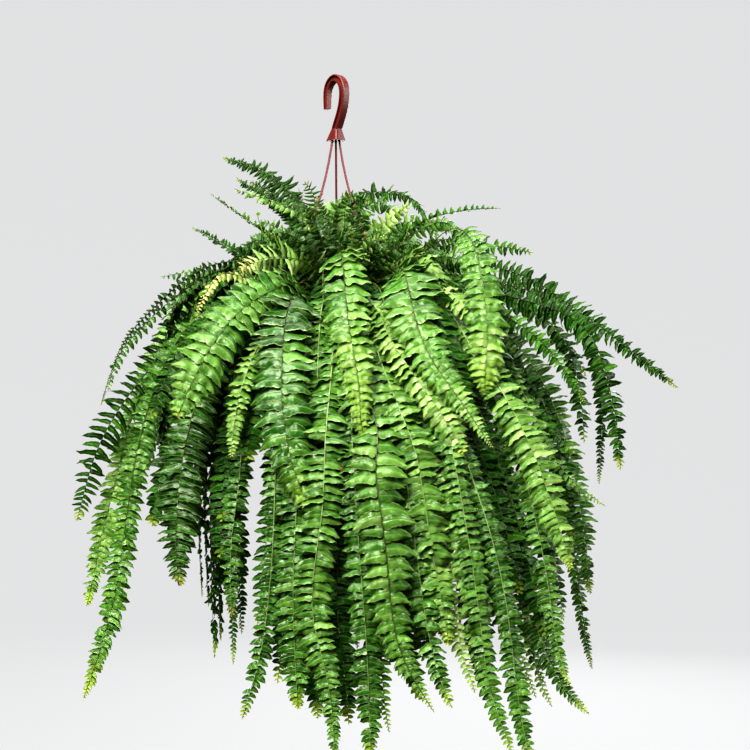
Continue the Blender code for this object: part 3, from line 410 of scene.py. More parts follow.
def frond_mesh(row, style, seed):
    """Vertices, faces, colours, leaf coordinates and map places of one frond, in mm."""
    rng = np.random.default_rng(seed)
    line = smooth_line(row["line"], 3.0)
    run = np.concatenate([[0], np.cumsum(np.linalg.norm(np.diff(line, axis=0), axis=1))])
    long = run[-1]
    tangent, side, up = frames_along(line, row["face"])
    if style["show"]:  # turn the blade towards the front, except where it points there
        front = np.array([0.0, -1.0, 0.15]) - (tangent @ np.array([0.0, -1.0, 0.15]))[:, None] * tangent
        share = style["show"] * np.clip(np.linalg.norm(front, axis=1), 0, 1)[:, None] ** 1.5
        up = unit(up * (1 - share) + unit(front) * share)
        up = unit(up - (up * tangent).sum(1)[:, None] * tangent)
        side = np.cross(tangent, up) * np.sign((np.cross(tangent, up) * side).sum(1))[:, None]
    if style["roll"]:
        a = np.radians(style["roll"]) * np.clip(run / long / 0.35, 0, 1)
        side, up = (
            side * np.cos(a)[:, None] + up * np.sin(a)[:, None],
            up * np.cos(a)[:, None] - side * np.sin(a)[:, None],
        )
    stalk = min(style["stalk"] * long, style["stalk_most"])
    if style["from_top"] is not None:
        stalk = run[np.argmax(line[:, 2])] + style["from_top"]
    wide = row["wide"] * style["scale"]
    # where the leaflets stand
    stations = []
    at = stalk
    while at < long - 1.2:
        s = (at - stalk) / (long - stalk)
        gap = style["pitch"] * (0.16 + 0.84 * length_share(s, style) ** 0.85)
        stations.append((at, gap))
        at += max(gap, 1.7)
    stations = np.array(stations)
    count = len(stations)
    where = np.concatenate([stations[:, 0], stations[:, 0] + 0.5 * stations[:, 1]])
    pitch = np.concatenate([stations[:, 1], stations[:, 1]])
    hand = np.concatenate([-np.ones(count), np.ones(count)])
    order = np.argsort(where, kind="stable")
    where, pitch, hand = where[order], pitch[order], hand[order]
    keep = where < long - 0.8
    where, pitch, hand = where[keep], pitch[keep], hand[keep]
    missing = rng.random(len(where)) < style["gaps"]
    where, pitch, hand = where[~missing], pitch[~missing], hand[~missing]
    n = len(where)
    s = (where - stalk) / (long - stalk)
    size = length_share(s, style)
    p = at_run(run, line, where)
    t = unit(at_run(run, tangent, where))
    sd = unit(at_run(run, side, where)) * hand[:, None]
    nm = unit(at_run(run, up, where))
    length = np.maximum(wide * size * (1 + 0.07 * rng.standard_normal(n)), 1.6)
    width = np.minimum(pitch * style["fat"], length * 0.66) * (1 + 0.06 * rng.standard_normal(n))
    lean = np.radians(style["lean"] + 15 * s**2 + style["lean_vary"] * rng.standard_normal(n))
    lift = np.radians(style["lift"] + style["lift_vary"] * rng.standard_normal(n))
    d = t * np.sin(lean)[:, None] + sd * np.cos(lean)[:, None]
    d = unit(d * np.cos(lift)[:, None] + nm * np.sin(lift)[:, None])
    flat = np.clip(nm[:, 2], 0, 1)  # leaflets sag where the blade lies level
    sag = (style["hang"] + style["sag"] * flat) * (0.75 + 0.5 * rng.random(n))
    d = unit(d + np.array([0, 0, -1.0]) * sag[:, None])
    nm = unit(nm - (nm * d).sum(1)[:, None] * d)
    b = np.cross(nm, d)
    b *= np.sign((b * t).sum(1))[:, None]
    turn = np.radians(style["twist"] + style["twist_vary"] * rng.standard_normal(n))
    leaflet = {
        "p": p, "sd": sd, "d": d, "b": b, "nm": nm, "length": length, "width": width, "turn": turn, "s": s,
        "wave": rng.uniform(0, 2 * np.pi, (n, 2)),
        "waves": style["waves"] * (0.8 + 0.4 * rng.random(n)),
        "sickle": style["sickle"] * (1 + 0.4 * rng.standard_normal(n)),
        "droop": style["droop"] * (1 + 0.45 * rng.standard_normal(n)),
        "curl": np.radians(style["curl"] * rng.standard_normal(n)),
        "gold": style["edge_gold"] * (0.4 + 0.6 * rng.random(n)),
        "own": rng.random(n),
        "spoilt": (rng.random(n) < style["spoilt"]) * 1.0,
    }
    # colour: the frond's tone, paler towards its tip, and each leaflet a little its own
    tone = style["tone"] + style["tone_tip"] * s**1.4 + 0.38 * rng.standard_normal(n)
    tone = tone + 0.25 * np.sin(leaflet["wave"][:, 0] + where / 38.0)
    leaf = green(tone) * (0.90 + 0.16 * rng.random(n))[:, None]
    near_tip = np.clip((s - (1 - style["tip"])) / max(style["tip"], 1e-3), 0, 1)[:, None]
    leaf = leaf * (1 - near_tip) + style["tip_colour"] * near_tip
    if style["dry"]:
        dead = np.clip((s - (1 - style["dry"])) / 0.04, 0, 1)[:, None]
        leaf = leaf * (1 - dead) + BROWN * (0.8 + 0.8 * rng.random(n))[:, None] * dead
    leaflet["leaf"] = leaf
    # map places: a cell for each leaflet, and a strip for the rachis
    across = max(1, int(math.ceil(math.sqrt(n / 2.6))))
    down = int(math.ceil(n / across)) + 1
    leaflet["cell"] = np.stack([(np.arange(n) % across) / across, (np.arange(n) // across) / down], -1)
    cell = np.array([1 / across, 1 / down])
    big = length > style["small"]
    sheets = []
    for mask, grid in ((big, style["grid"]), (~big, style["grid_small"])):
        if mask.any():
            sheets.append(leaf_sheets({k: v[mask] for k, v in leaflet.items()}, style, grid, cell))
    # the rachis
    sides = 6
    knots = np.linspace(0, long, max(int(long / 7.0), 12))
    c = at_run(run, line, knots)
    cs = unit(at_run(run, side, knots))
    cu = unit(at_run(run, up, knots))
    k = knots / long
    thick = style["stem"] * (1.45 - 1.1 * k)
    thick[0] *= 1.35
    a = np.arange(sides) * 2 * np.pi / sides
    ring = (c + cu * style["proud"])[:, None] + thick[:, None, None] * (cs[:, None] * np.cos(a)[None, :, None] + cu[:, None] * (np.sin(a) * 0.85)[None, :, None])
    base = sum(len(sheet["verts"]) for sheet in sheets)
    stem_grid = base + np.arange(len(knots) * sides).reshape(len(knots), sides)
    nxt = np.roll(stem_grid, -1, 1)
    stem_faces = np.stack([stem_grid[:-1], nxt[:-1], nxt[1:], stem_grid[1:]], -1).reshape(-1, 4)
    caps = [stem_grid[0][::-1], stem_grid[-1]]
    mix = np.clip((knots - stalk - 10) / 60, 0, 1)[:, None]
    stem_colour = (0.5 * STALK + 0.5 * DARK_STEM) * (1 - mix) + (style["stem_colour"] * (1 - 0.25 * k[:, None]) + green(np.full(len(k), style["tone"])) * 0.25 * k[:, None]) * mix
    stem_colour = np.repeat(stem_colour[:, None, :], sides, 1).reshape(-1, 3)
    stem_at = np.zeros((len(knots), sides, 3))
    stem_at[..., 0] = k[:, None]
    stem_at[..., 2] = -1.0
    stem_places = np.zeros((len(knots), sides, 2))
    stem_places[..., 0] = 0.01 + 0.98 * k[:, None]
    stem_places[..., 1] = (down - 1 + 0.15 + 0.7 * (np.arange(sides) / sides)[None, :]) / down
    at, quads = 0, []
    for sheet in sheets:
        quads.append(sheet["faces"] + at)
        at += len(sheet["verts"])
    return {
        "verts": np.vstack([sheet["verts"] for sheet in sheets] + [ring.reshape(-1, 3)]),
        "quads": np.vstack(quads + [stem_faces]),
        "caps": caps,
        "colour": np.vstack([sheet["colour"] for sheet in sheets] + [stem_colour]),
        "leaf": np.vstack([sheet["leaf"] for sheet in sheets] + [stem_at.reshape(-1, 3)]),
        "uv": np.vstack([sheet["uv"] for sheet in sheets] + [stem_places.reshape(-1, 2)]),
    }


def leaf_sheets(q, style, grid, cell):
    """The curved sheets of some of a frond's leaflets, each on a grid of its own."""
    nu, nv = grid
    n = len(q["length"])
    u = np.linspace(0, 1, nu) ** 0.92
    u[1] *= 0.72
    v = np.linspace(-1, 1, nv)
    body = np.clip(1 - u**style["blunt"], 0, 1) ** 0.86
    body = body * (0.84 + 0.16 * np.clip(u / 0.12, 0, 1)) * (1.0 - 0.12 * u)
    body[-1] = 0.05
    body[0] = 0.78
    ear = 0.34 * np.exp(-(((u - 0.10) / 0.075) ** 2))
    ear_low = 0.10 * np.exp(-(((u - 0.09) / 0.07) ** 2))
    teeth = np.where(np.arange(nu) % 2 == 0, 1.0, -1.0) * 0.045 * (u > 0.03) * (u < 0.97)
    U = u[None, :, None]
    V = v[None, None, :]
    half = np.where(V > 0, (body + ear + teeth)[None, :, None], (body + ear_low + teeth)[None, :, None])
    W = (q["width"] / 2)[:, None, None]
    L = q["length"][:, None, None]
    X = L * U * (1 + 0 * V)
    Y = W * half * V
    edge = np.abs(V)
    waves = q["waves"][:, None, None]
    far, near = q["wave"][:, 0][:, None, None], q["wave"][:, 1][:, None, None]
    ruffle = np.where(V > 0, np.sin(far + waves * 2 * np.pi * U), np.sin(near + waves * 2 * np.pi * U))
    amp = (style["ruffle"] * np.minimum(q["width"], 12.0) / 10.0)[:, None, None]
    Z = -0.06 * W * (edge < 0.25) + 0.07 * W * (1 - np.abs(edge - 0.5) * 2) - style["cup"] * W * edge**2
    Z = Z - style["fold"] * W * np.clip(-V, 0, 1)
    Z = Z + amp * ruffle * edge**1.5 * np.clip(U / 0.2, 0, 1)
    Z = Z + style["swell"] * amp * np.sin(far * 1.7 + waves * 1.3 * np.pi * U) * np.clip(U / 0.3, 0, 1)
    Y = Y + q["sickle"][:, None, None] * L * U**2 + style["hook"] * W * U ** style["blunt"]
    Z = Z - q["droop"][:, None, None] * L * U**1.8
    roll = q["turn"][:, None, None] + q["curl"][:, None, None] * U
    Y, Z = Y * np.cos(roll) - Z * np.sin(roll), Y * np.sin(roll) + Z * np.cos(roll)
    start = q["p"] + q["sd"] * 0.1
    P = (
        start[:, None, None, :]
        + q["d"][:, None, None, :] * X[..., None]
        + q["b"][:, None, None, :] * Y[..., None]
        + q["nm"][:, None, None, :] * Z[..., None]
    )
    places = np.arange(nu * nv).reshape(nu, nv)
    quad = np.stack([places[:-1, :-1], places[1:, :-1], places[1:, 1:], places[:-1, 1:]], -1).reshape(-1, 4)
    flip = (np.cross(q["d"], q["b"]) * q["nm"]).sum(1) < 0
    faces = np.where(flip[:, None, None], quad[None, :, ::-1], quad[None])
    faces = (faces + (np.arange(n) * nu * nv)[:, None, None]).reshape(-1, 4)
    colour = np.broadcast_to(q["leaf"][:, None, None, :], (n, nu, nv, 3))
    gold = (np.clip((U - 0.80) / 0.2, 0, 1) * q["gold"][:, None, None])[..., None]
    colour = colour * (1 - gold) + YELLOW * gold
    spoilt = (q["spoilt"][:, None, None] * np.clip((U - 0.55) / 0.3, 0, 1))[..., None]
    colour = colour * (1 - spoilt) + BROWN * spoilt
    leaf_at = np.stack([np.broadcast_to(U, X.shape), np.broadcast_to(V, X.shape), np.broadcast_to(q["own"][:, None, None], X.shape)], -1)
    pad = 0.06
    mu = q["cell"][:, 0][:, None, None] + cell[0] * (pad + (1 - 2 * pad) * U) + 0 * V
    mv = q["cell"][:, 1][:, None, None] + cell[1] * (pad + (1 - 2 * pad) * (V * 0.5 + 0.5)) + 0 * U
    return {
        "verts": P.reshape(-1, 3),
        "faces": faces,
        "colour": colour.reshape(-1, 3),
        "leaf": leaf_at.reshape(-1, 3),
        "uv": np.stack([mu, mv], -1).reshape(-1, 2),
    }


def object_from(name, parts, material):
    """One mesh object from the parts that frond_mesh gave, in metres."""
    base = 0
    verts, quads, caps, colour, leaf, uv = [], [], [], [], [], []
    for k, part in enumerate(parts):
        verts.append(part["verts"])
        quads.append(part["quads"] + base)
        caps += [c + base for c in part["caps"]]
        colour.append(part["colour"])
        leaf.append(part["leaf"])
        tiles = int(math.ceil(math.sqrt(len(parts))))
        uv.append((part["uv"] + np.array([k % tiles, k // tiles])) / tiles)
        base += len(part["verts"])
    verts, quads = np.vstack(verts), np.vstack(quads)
    colour, leaf, uv = np.vstack(colour), np.vstack(leaf), np.vstack(uv)
    sizes = np.concatenate([np.full(len(quads), 4), [len(c) for c in caps]]).astype(np.int32)
    loops = np.concatenate([quads.ravel(), *caps]).astype(np.int32)
    mesh = bpy.data.meshes.new(name)
    mesh.vertices.add(len(verts))
    mesh.vertices.foreach_set("co", (verts * MM).astype(np.float32).ravel())
    mesh.loops.add(len(loops))
    mesh.loops.foreach_set("vertex_index", loops)
    mesh.polygons.add(len(sizes))
    starts = np.concatenate([[0], np.cumsum(sizes)[:-1]]).astype(np.int32)
    mesh.polygons.foreach_set("loop_start", starts)
    mesh.polygons.foreach_set("use_smooth", np.ones(len(sizes), bool))
    mesh.update(calc_edges=True)
    mesh.validate()
    tint = mesh.attributes.new("leaf_colour", "FLOAT_COLOR", "POINT")
    tint.data.foreach_set("color", np.hstack([colour, np.ones((len(colour), 1))]).astype(np.float32).ravel())
    where = mesh.attributes.new("leaf_place", "FLOAT_VECTOR", "POINT")
    where.data.foreach_set("vector", leaf.astype(np.float32).ravel())
    layer = mesh.uv_layers.new(name="OFBake")
    layer.uv.foreach_set("vector", uv[loops].astype(np.float32).ravel())
    obj = bpy.data.objects.new(name, mesh)
    bpy.context.scene.collection.objects.link(obj)
    mesh.materials.append(material)
    return obj


# ---- materials --------------------------------------------------------------------------------------------


class Nodes:
    """A short way to write a node tree."""

    def __init__(self, name):
        self.mat = bpy.data.materials.new(name)
        self.mat.use_nodes = True
        self.tree = self.mat.node_tree
        self.tree.nodes.clear()
        self.out = self.tree.nodes.new("ShaderNodeOutputMaterial")

    def add(self, kind, **values):
        node = self.tree.nodes.new("ShaderNode" + kind)
        for key, value in values.items():
            setattr(node, key, value)
        return node

    def put(self, node, **inputs):
        for key, value in inputs.items():
            key = int(key[1:]) if key[0] == "_" and key[1:].isdigit() else key.replace("_", " ")
            socket = node.inputs[key]
            if isinstance(value, bpy.types.NodeSocket):
                self.tree.links.new(value, socket)
            else:
                socket.default_value = value
        return node

    def math(self, operation, a, b=None, c=None, clamp=False):
        node = self.add("Math", operation=operation, use_clamp=clamp)
        for k, value in enumerate((a, b, c)):
            if value is None:
                continue
            if isinstance(value, bpy.types.NodeSocket):
                self.tree.links.new(value, node.inputs[k])
            else:
                node.inputs[k].default_value = value
        return node.outputs[0]

    def mix(self, share, a, b, blend="MIX"):
        node = self.add("Mix", data_type="RGBA", blend_type=blend)
        node.clamp_factor = True
        for key, value in ((0, share), (6, a), (7, b)):
            if isinstance(value, bpy.types.NodeSocket):
                self.tree.links.new(value, node.inputs[key])
            else:
                node.inputs[key].default_value = value if not isinstance(value, tuple) else (*value, 1.0)[:4]
        return node.outputs[2]

    def noise(self, vector, scale, detail=3.0, rough=0.5):
        node = self.add("TexNoise")
        self.put(node, Vector=vector, Scale=scale, Detail=detail, Roughness=rough)
        return node.outputs[0]

    def ramp(self, value, low, high, to_low=0.0, to_high=1.0):
        node = self.add("MapRange", interpolation_type="SMOOTHSTEP")
        self.put(node, _0=value, _1=low, _2=high, _3=to_low, _4=to_high)
        return node.outputs[0]


def foliage_material(name, deep=False):
    """Leaf with midrib, side veins and pale margin, painted shade on the half nearer the frond's root and beside the
    rachis, and painted highlights on the bulges; deep ones, inside the plant, are less glossy.
    """
    m = Nodes(name)
    tint = m.add("Attribute", attribute_name="leaf_colour").outputs["Color"]
    place = m.add("Attribute", attribute_name="leaf_place").outputs["Vector"]
    parts = m.add("SeparateXYZ")
    m.put(parts, _0=place)
    u, v, own = parts.outputs
    leafy = m.math("GREATER_THAN", own, -0.5)
    across = m.math("ABSOLUTE", v)
    coords = m.add("TexCoord").outputs["Object"]
    cloud = m.noise(coords, 55.0, 2.0)
    grain = m.noise(coords, 620.0, 2.0, 0.6)
    # the midrib is pale, the field beside it deeper, and side veins run out to the scallops
    rib = m.math("MULTIPLY", m.ramp(across, 0.16, 0.03), leafy)
    skew = m.math("MULTIPLY_ADD", across, -0.22, u)
    wave = m.math("SINE", m.math("MULTIPLY", skew, 2 * math.pi * 11.0))
    vein = m.math("MULTIPLY", m.ramp(wave, 0.35, 1.0), m.math("MULTIPLY", leafy, m.ramp(across, 0.98, 0.75)))
    tone = m.math("MULTIPLY_ADD", cloud, 0.75, 0.62)
    tone = m.math("MULTIPLY_ADD", m.math("SUBTRACT", own, 0.5), m.math("MULTIPLY", leafy, 0.22), tone)
    tone = m.math("MULTIPLY_ADD", grain, 0.16, m.math("SUBTRACT", tone, 0.08))
    shade = m.add("CombineColor")
    m.put(shade, _0=tone, _1=tone, _2=tone)
    colour = m.mix(1.0, tint, shade.outputs[0], "MULTIPLY")
    deeper = m.mix(1.0, colour, (0.80, 0.88, 0.75), "MULTIPLY")
    colour = m.mix(m.math("MULTIPLY", vein, 0.55), colour, deeper)
    # painted shade: the half of a leaflet nearer the frond's root, where the leaflet above casts its shadow, is
    # darkened
    near = m.math("MULTIPLY", m.ramp(v, 0.35, -0.65), leafy)
    colour = m.mix(m.math("MULTIPLY", near, 0.85), colour, m.mix(1.0, colour, (0.30, 0.46, 0.20), "MULTIPLY"))
    # painted shade: each leaflet is darkened at its root beside the rachis, where shade falls
    painted_root_shade = m.math("MULTIPLY", m.ramp(u, 0.14, 0.0), leafy)
    colour = m.mix(m.math("MULTIPLY", painted_root_shade, 0.35), colour, m.mix(1.0, colour, (0.36, 0.50, 0.30), "MULTIPLY"))
    # bumps where the field bulges between the side veins, and painted highlights: pale patches on those bulges, more
    # on the leaflet's far half
    bulge_and_highlight_noise = m.noise(coords, 210.0, 2.0, 0.55)
    painted_highlight = m.math("MULTIPLY", m.ramp(bulge_and_highlight_noise, 0.50, 0.72), m.math("MULTIPLY", leafy, m.ramp(v, -0.55, 0.35)))
    colour = m.mix(m.math("MULTIPLY", painted_highlight, 0.6), colour, m.mix(0.35, m.mix(1.0, colour, (2.0, 1.6, 2.6), "MULTIPLY"), (0.28, 0.50, 0.20)))
    paler = m.mix(0.5, colour, (0.34, 0.42, 0.12))
    colour = m.mix(m.math("MULTIPLY", rib, 0.45), colour, paler)
    margin = m.math("MULTIPLY", m.ramp(across, 0.84, 0.98), leafy)
    light_edge = m.mix(0.6, colour, (0.50, 0.58, 0.24))
    colour = m.mix(m.math("MULTIPLY", margin, 0.3 if deep else 0.85), colour, light_edge)
    rough = m.math("MULTIPLY_ADD", cloud, 0.20, 0.20)
    height = m.math("MULTIPLY_ADD", vein, -0.55, m.math("MULTIPLY", rib, -0.9))
    height = m.math("MULTIPLY_ADD", grain, 0.30, height)
    height = m.math("MULTIPLY_ADD", bulge_and_highlight_noise, 2.6, height)
    bump = m.add("Bump")
    m.put(bump, Strength=0.42, Distance=0.0006, Height=height)
    skin = m.add("BsdfPrincipled")
    m.put(skin, Base_Color=colour, Roughness=rough, Normal=bump.outputs[0])
    skin.inputs["Specular IOR Level"].default_value = 0.55 if not deep else 0.15
    skin.inputs["Specular Tint"].default_value = (0.86, 1.0, 0.74, 1.0)
    glow_colour = m.mix(1.0, colour, (1.25, 1.30, 0.55), "MULTIPLY")
    glow = m.add("BsdfTranslucent")
    m.put(glow, Color=glow_colour, Normal=bump.outputs[0])
    both = m.add("MixShader")
    m.put(both, _0=0.16, _1=skin.outputs[0], _2=glow.outputs[0])
    m.put(m.out, Surface=both.outputs[0])
    return m.mat


LEAF = foliage_material("foliage_leaf")
DEEP_LEAF = foliage_material("foliage_leaf_inner", deep=True)


# ---- fronds -----------------------------------------------------------------------------------------------

PLAIN = {
    "tone": 2.0,  # 0 darkest green, 5 palest
    "tone_tip": 0.5,  # added towards the tip
    "tip": 0.05,  # share of the frond at its tip that takes tip_colour
    "tip_colour": YELLOW,
    "edge_gold": 0.10,
    "spoilt": 0.004,
    "dry": 0.0,
    "pitch": 7.7,  # mm between leaflets on one side
    "fat": 1.28,  # a leaflet's width as a share of that
    "full": 0.66,  # how far along the frond its leaflets stay at full length
    "taper": 0.52,
    "stalk": 0.16,
    "stalk_most": 62.0,
    "root": 0.6,
    "root_run": 0.14,
    "scale": 1.0,
    "lift_vary": 10.0,
    "lean_vary": 3.5,
    "sag": 0.42,
    "lean": -3.0,  # degrees forward of square to the rachis
    "lift": -2.0,
    "hang": 0.05,
    "twist": 18.0,  # degrees that a leaflet's far edge stands proud of its near one
    "twist_vary": 13.0,
    "curl": 18.0,
    "waves": 2.0,
    "ruffle": 0.9,
    "swell": 0.5,
    "cup": 0.16,
    "sickle": 0.07,
    "droop": 0.14,
    "gaps": 0.012,
    "roll": 0.0,
    "stem": 0.8,
    "stem_colour": RACHIS,
    "grid": (11, 5),
    "small": 9.0,  # mm; shorter leaflets take the smaller grid
    "grid_small": (8, 3),
    "blunt": 3.6,
    "hook": 0.35,  # the tip's bend towards the frond's tip, as a share of half the width
    "fold": 0.10,  # the half nearer the frond's root bends down by this share of its width
    "from_top": None,  # mm from the arch's top to the first leaflets, where it isn't a share of the length
    "show": 0.0,  # how far the blade is turned to the front
    "proud": 0.7,  # mm that the rachis lies above the leaflets' roots
}
DARK_STEM = np.array((0.085, 0.070, 0.028))

PALE_STEM = np.array((0.32, 0.40, 0.17))
LIME = np.array((0.225, 0.360, 0.035))
STRAPS = dict(stem=0.62, stem_colour=np.array((0.055, 0.060, 0.022)), lift_vary=15.0, lean_vary=7.0, fat=0.9, curl=26, grid=(9, 4), twist=14, twist_vary=16, ruffle=0.8, blunt=3.2, sickle=0.10, droop=0.24)  # narrow leaflets with gaps between
BROAD = dict(stem=0.46, fat=1.45, twist=9, twist_vary=6, lift_vary=6.0, ruffle=0.8, waves=2.0, swell=0.8, grid=(14, 5), sickle=0.10, blunt=3.6, hook=0.8, root=0.85, cup=0.18, lean=-9, lift=0, hang=0.0, sag=0.12, from_top=-4.0, show=0.8)

STYLES = {
    "frond_top_01": dict(STRAPS, tone=0.0, pitch=6.2, full=0.6, tone_tip=0.4, show=0.3, fat=1.0),
    "frond_top_02": dict(STRAPS, tone=0.0, pitch=6.0, full=0.55, tone_tip=0.4, fat=1.0),
    "frond_top_03": dict(STRAPS, tone=2, pitch=6.4, roll=0, full=0.45, fat=1.05, lift=30, sag=0.0, scale=1.4),
    "frond_top_04": dict(STRAPS, tone=0.3, pitch=5.8, full=0.5, fat=1.0, lift=32, sag=0.05, tone_tip=0.6),
    "frond_top_05": dict(STRAPS, tone=0.4, pitch=6.2, full=0.6, hang=0.22, fat=1.0, tone_tip=0.3),
    "frond_top_06": dict(tone=4.0, pitch=7.6, fat=1.46, scale=1.35),
    "frond_top_08": dict(STRAPS, tone=0.2, pitch=5.6, fat=0.55, sickle=0.3, show=0.9, full=0.85, lift_vary=3, lean_vary=2, twist_vary=4),
    "frond_left_01": dict(STRAPS, tone=0.0, pitch=7.0, full=0.5, taper=1.1, show=0.8, scale=0.62),
    "frond_left_02": dict(STRAPS, tone=0.4, pitch=9.6, fat=0.66, full=0.75, twist=10, blunt=4.5, waves=1.8, ruffle=1.7, lean=3, sag=0.12, hang=0.0, show=0.9, lift_vary=8),
    "frond_left_03": dict(BROAD, tone=1.9, pitch=11.4, full=0.72, fat=1.5, from_top=18.0, root=0.7, tone_tip=0.9),
    "frond_left_04": dict(STRAPS, tone=3.3, tone_tip=1.4, pitch=6.8, tip=0.2, tip_colour=CREAM, fat=0.95, sag=0.1, lean=0, scale=1.3, proud=6.0),
    "frond_left_05": dict(tone=3, pitch=7.2, fat=1.34, stem_colour=PALE_STEM),
    "frond_left_06": dict(tone=0.3, pitch=8.4, fat=1.01, dry=0.035, full=0.75),
    "frond_left_07": dict(tone=2.7, pitch=7.4, full=0.8, fat=1.23),
    "frond_left_08": dict(tone=1.7, pitch=7.9, tip=0.1, full=0.8, fat=1.23),
    "frond_left_09": dict(tone=0.85, pitch=8.1, dry=0.05, gaps=0.05, full=0.8, fat=1.06, stem_colour=PALE_STEM),
    "frond_left_10": dict(tone=1.1, pitch=7.9, full=0.85, fat=1.12, stem_colour=PALE_STEM),
    "frond_front_01": dict(BROAD, tone=2, tone_tip=2.0, pitch=11.2, stem_colour=DARK_STEM, sickle=0.11, full=0.42, taper=0.55, fat=1.65, root=0.95, tip=0.55, from_top=-11.0, scale=0.9, tip_colour=LIME),
    "frond_front_02": dict(BROAD, tone=0.6, pitch=11.6, full=0.62, tip=0.2, fat=1.45, scale=0.92, tone_tip=1.6, tip_colour=LIME, stem_colour=DARK_STEM),
    "frond_front_03": dict(BROAD, tone=1.9, pitch=11.2, tip=0.05, tip_colour=CREAM, stem_colour=DARK_STEM, sickle=0.12, full=0.22, taper=0.8, fat=1.6, root=0.95, tone_tip=1.6),
    "frond_front_04": dict(BROAD, tone=2.3, pitch=12.8, full=0.66, taper=0.75, fat=1.15, stem_colour=DARK_STEM, fold=0.22, stem=0.75),
    "frond_front_05": dict(tone=2.5, pitch=7.4, full=0.85, stem_colour=PALE_STEM, fat=1.23),
    "frond_front_06": dict(tone=2.5, pitch=7.9, full=0.8, stem_colour=PALE_STEM, fat=1.29),
    "frond_front_07": dict(tone=2.0, pitch=7.9, full=0.7, taper=0.8, stem_colour=PALE_STEM, scale=0.9),
    "frond_front_08": dict(tone=1.3, pitch=7.7, full=0.85, stem_colour=PALE_STEM),
    "frond_front_09": dict(tone=2, pitch=7.9, full=0.75, stem_colour=PALE_STEM),
    "frond_front_10": dict(tone=0.7, pitch=7.9, full=0.8, stem_colour=PALE_STEM, fat=1.12),
    "frond_right_01": dict(STRAPS, tone=0.9, pitch=8.6, full=0.7, fat=0.88, lift=42, sag=0.0, hang=0.0),
    "frond_right_02": dict(STRAPS, tone=1.2, pitch=8.2, full=0.78, fat=0.78, twist=6, sag=0.05, hang=0.0, show=0.9, lift_vary=4),
    "frond_right_03": dict(STRAPS, tone=0.3, pitch=8.0, fat=1.0, full=0.6, root=0.42, root_run=0.6, tone_tip=0.2),
    "frond_right_04": dict(STRAPS, tone=0.5, pitch=8.4, fat=0.98, full=0.75, root=0.45, root_run=0.6, tone_tip=0.2),
    "frond_right_05": dict(BROAD, tone=2, tone_tip=2.0, pitch=8.6, tip=0.4, full=0.78, taper=0.6, root=0.6, from_top=12.0, fat=1.4, tip_colour=LIME),
    "frond_right_06": dict(STRAPS, tone=1.3, pitch=6.8, fat=1.05, scale=0.85),
    "frond_right_07": dict(tone=2.9, pitch=7.4, full=0.8, stem_colour=PALE_STEM, fat=1.34),
    "frond_right_08": dict(STRAPS, tone=0.0, pitch=6.8, full=0.75, fat=1.05, scale=0.75, tone_tip=0.2),
    "frond_right_09": dict(tone=2, pitch=7.6),
    "frond_right_10": dict(tone=1, pitch=7.6, full=0.75, fat=1.06),
    "frond_right_11": dict(tone=1.1, pitch=7.4, full=0.75, fat=1.06),
    "frond_right_12": dict(tone=1.7, pitch=7.2, full=0.8, stem_colour=PALE_STEM, fat=1.12),
    "frond_low_01": dict(tone=0.8, pitch=7.6, full=0.8, stem_colour=PALE_STEM, fat=1.12),
    "frond_low_02": dict(tone=1.3, pitch=7.6, full=0.85, stem_colour=PALE_STEM, fat=1.12),
    "frond_low_03": dict(tone=1.7, pitch=7.7, full=0.85, stem_colour=PALE_STEM),
    "frond_low_04": dict(tone=1.1, pitch=7.7, full=0.85, stem_colour=PALE_STEM),
}

